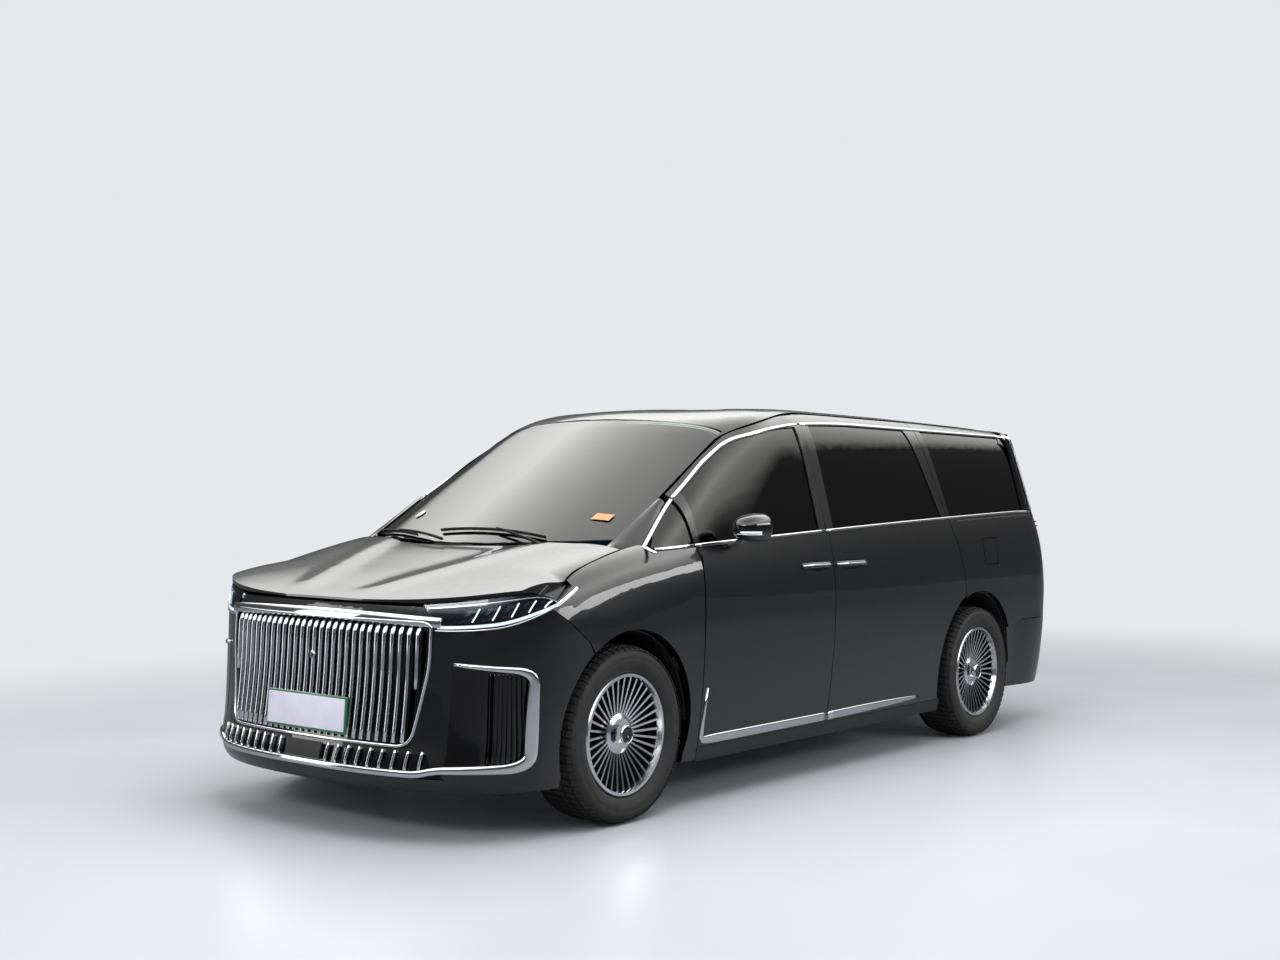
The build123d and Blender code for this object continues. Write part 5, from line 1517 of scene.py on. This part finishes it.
# %% Floor
floor_mesh = bpy.data.meshes.new("studio_floor")
floor_mesh.from_pydata([(-60, -60, 0), (60, -60, 0), (60, 60, 0), (-60, 60, 0)], [], [(0, 1, 2, 3)])
floor = bpy.data.objects.new("studio_floor", floor_mesh)
bpy.context.scene.collection.objects.link(floor)
backdrop = srgb("#e6e8ec")
floor_finish, tree, shader = finish("pale_floor_paint", "#d9dbe0", Roughness=0.3)
mottled(tree, shader, "Roughness", 900, 0.26, 0.36)
place = add(tree, "ShaderNodeTexCoord").outputs["Object"]
stretched = add(tree, "ShaderNodeVectorMath", {0: place}, operation="MULTIPLY")
stretched.inputs[1].default_value = (1.0, 0.62, 0.0)
away = add(tree, "ShaderNodeVectorMath", {0: stretched.outputs[0]}, operation="LENGTH").outputs["Value"]
fade = add(tree, "ShaderNodeMapRange", {"Value": away}, From_Min=2.2, From_Max=6.5)
fade.interpolation_type = "SMOOTHSTEP"
rays = add(tree, "ShaderNodeLightPath").outputs["Is Camera Ray"]
share = add(tree, "ShaderNodeMath", {0: fade.outputs[0], 1: rays}, operation="MULTIPLY").outputs[0]
plain = add(tree, "ShaderNodeEmission", Color=backdrop, Strength=1.0)
blended = add(tree, "ShaderNodeMixShader", {0: share, 1: shader.outputs[0], 2: plain.outputs[0]})
mirrored = add(tree, "ShaderNodeLightPath").outputs["Is Glossy Ray"]
dimmed = add(tree, "ShaderNodeMath", {0: mirrored}, operation="MULTIPLY")
dimmed.inputs[1].default_value = 0.6
dark = add(tree, "ShaderNodeBsdfDiffuse", Color=srgb("#3c3d40"))
mixed = add(tree, "ShaderNodeMixShader", {0: dimmed.outputs[0], 1: blended.outputs[0], 2: dark.outputs[0]})
tree.links.new(mixed.outputs[0], tree.nodes["Material Output"].inputs["Surface"])
floor_mesh.materials.append(floor_finish)

# %% World
world = bpy.data.worlds.new("studio")
world.use_nodes = True
tree = world.node_tree
tree.nodes.clear()
rays = add(tree, "ShaderNodeLightPath")
seen = add(tree, "ShaderNodeMath", {0: rays.outputs["Is Camera Ray"], 1: rays.outputs["Is Transmission Ray"]})
seen.operation = "MAXIMUM"
lit = add(tree, "ShaderNodeBackground", Color=srgb("#e9ebf0"), Strength=0.5)
shown = add(tree, "ShaderNodeBackground", Color=backdrop, Strength=1.0)
height = add(tree, "ShaderNodeSeparateXYZ", {"Vector": add(tree, "ShaderNodeTexCoord").outputs["Generated"]})
rise = add(tree, "ShaderNodeValToRGB", {"Fac": height.outputs["Z"]})
stops = rise.color_ramp.elements
stops[0].position, stops[0].color = 0.0, (0.03, 0.032, 0.038, 1)
stops[1].position, stops[1].color = 1.0, (0.5, 0.5, 0.5, 1)
for position, level in ((0.2, 0.03), (0.32, 0.05), (0.38, 0.5), (0.48, 0.75), (0.62, 1.15), (0.85, 0.6)):
    stop = stops.new(position)
    stop.color = (level, level, level * 0.98, 1)
mirrored_sky = add(tree, "ShaderNodeBackground", {"Color": rise.outputs["Color"]}, Strength=2.8)
mixed = {0: rays.outputs["Is Glossy Ray"], 1: lit.outputs[0], 2: mirrored_sky.outputs[0]}
glossy = add(tree, "ShaderNodeMixShader", mixed)
sky = add(tree, "ShaderNodeMixShader", {0: seen.outputs[0], 1: glossy.outputs[0], 2: shown.outputs[0]})
add(tree, "ShaderNodeOutputWorld", {"Surface": sky.outputs[0]})
bpy.context.scene.world = world


# %% Lights
def soft_light(name, centre, target, size, power, mirrored=True):
    """A large rectangular soft light, which mirrors may or may not see."""
    lamp = bpy.data.lights.new(name, "AREA")
    lamp.shape = "RECTANGLE"
    lamp.size, lamp.size_y = size
    lamp.energy = power
    made = bpy.data.objects.new(name, lamp)
    made.location = centre
    made.rotation_euler = (Vector(target) - Vector(centre)).to_track_quat("-Z", "Y").to_euler()
    made.visible_glossy = mirrored
    bpy.context.scene.collection.objects.link(made)


soft_light("overhead_soft_light", (0.5, -0.5, 5.2), (0, 0, 0), (4.5, 7.5), 330, mirrored=False)
soft_light("side_soft_light", (7.5, 3.2, 3.6), (0, 0.4, 0.8), (6.0, 1.4), 170)
soft_light("front_soft_light", (0.5, -8.5, 4.2), (0, -2.0, 0.8), (6.0, 1.2), 130)
soft_light("front_right_soft_light", (-6.5, -8.5, 1.9), (0, -2.6, 0.7), (1.8, 3.2), 70)

# %% Camera
camera = bpy.data.objects.new("camera", bpy.data.cameras.new("camera"))
camera.data.lens, camera.data.sensor_width = 44.05, 36.0
forward = Vector((-0.62315, 0.78204, 0.01006)).normalized()
level_right = forward.cross(Vector((0, 0, 1))).normalized()
level_up = level_right.cross(forward)
roll = 0.0086
right = math.cos(roll) * level_right + math.sin(roll) * level_up
up = -math.sin(roll) * level_right + math.cos(roll) * level_up
turn = Matrix((right, up, -forward)).transposed().to_4x4()
camera.matrix_world = Matrix.Translation((5.04295, -6.78377, 1.36049)) @ turn
bpy.context.scene.collection.objects.link(camera)
bpy.context.scene.camera = camera
bpy.context.scene.view_settings.view_transform = "Standard"
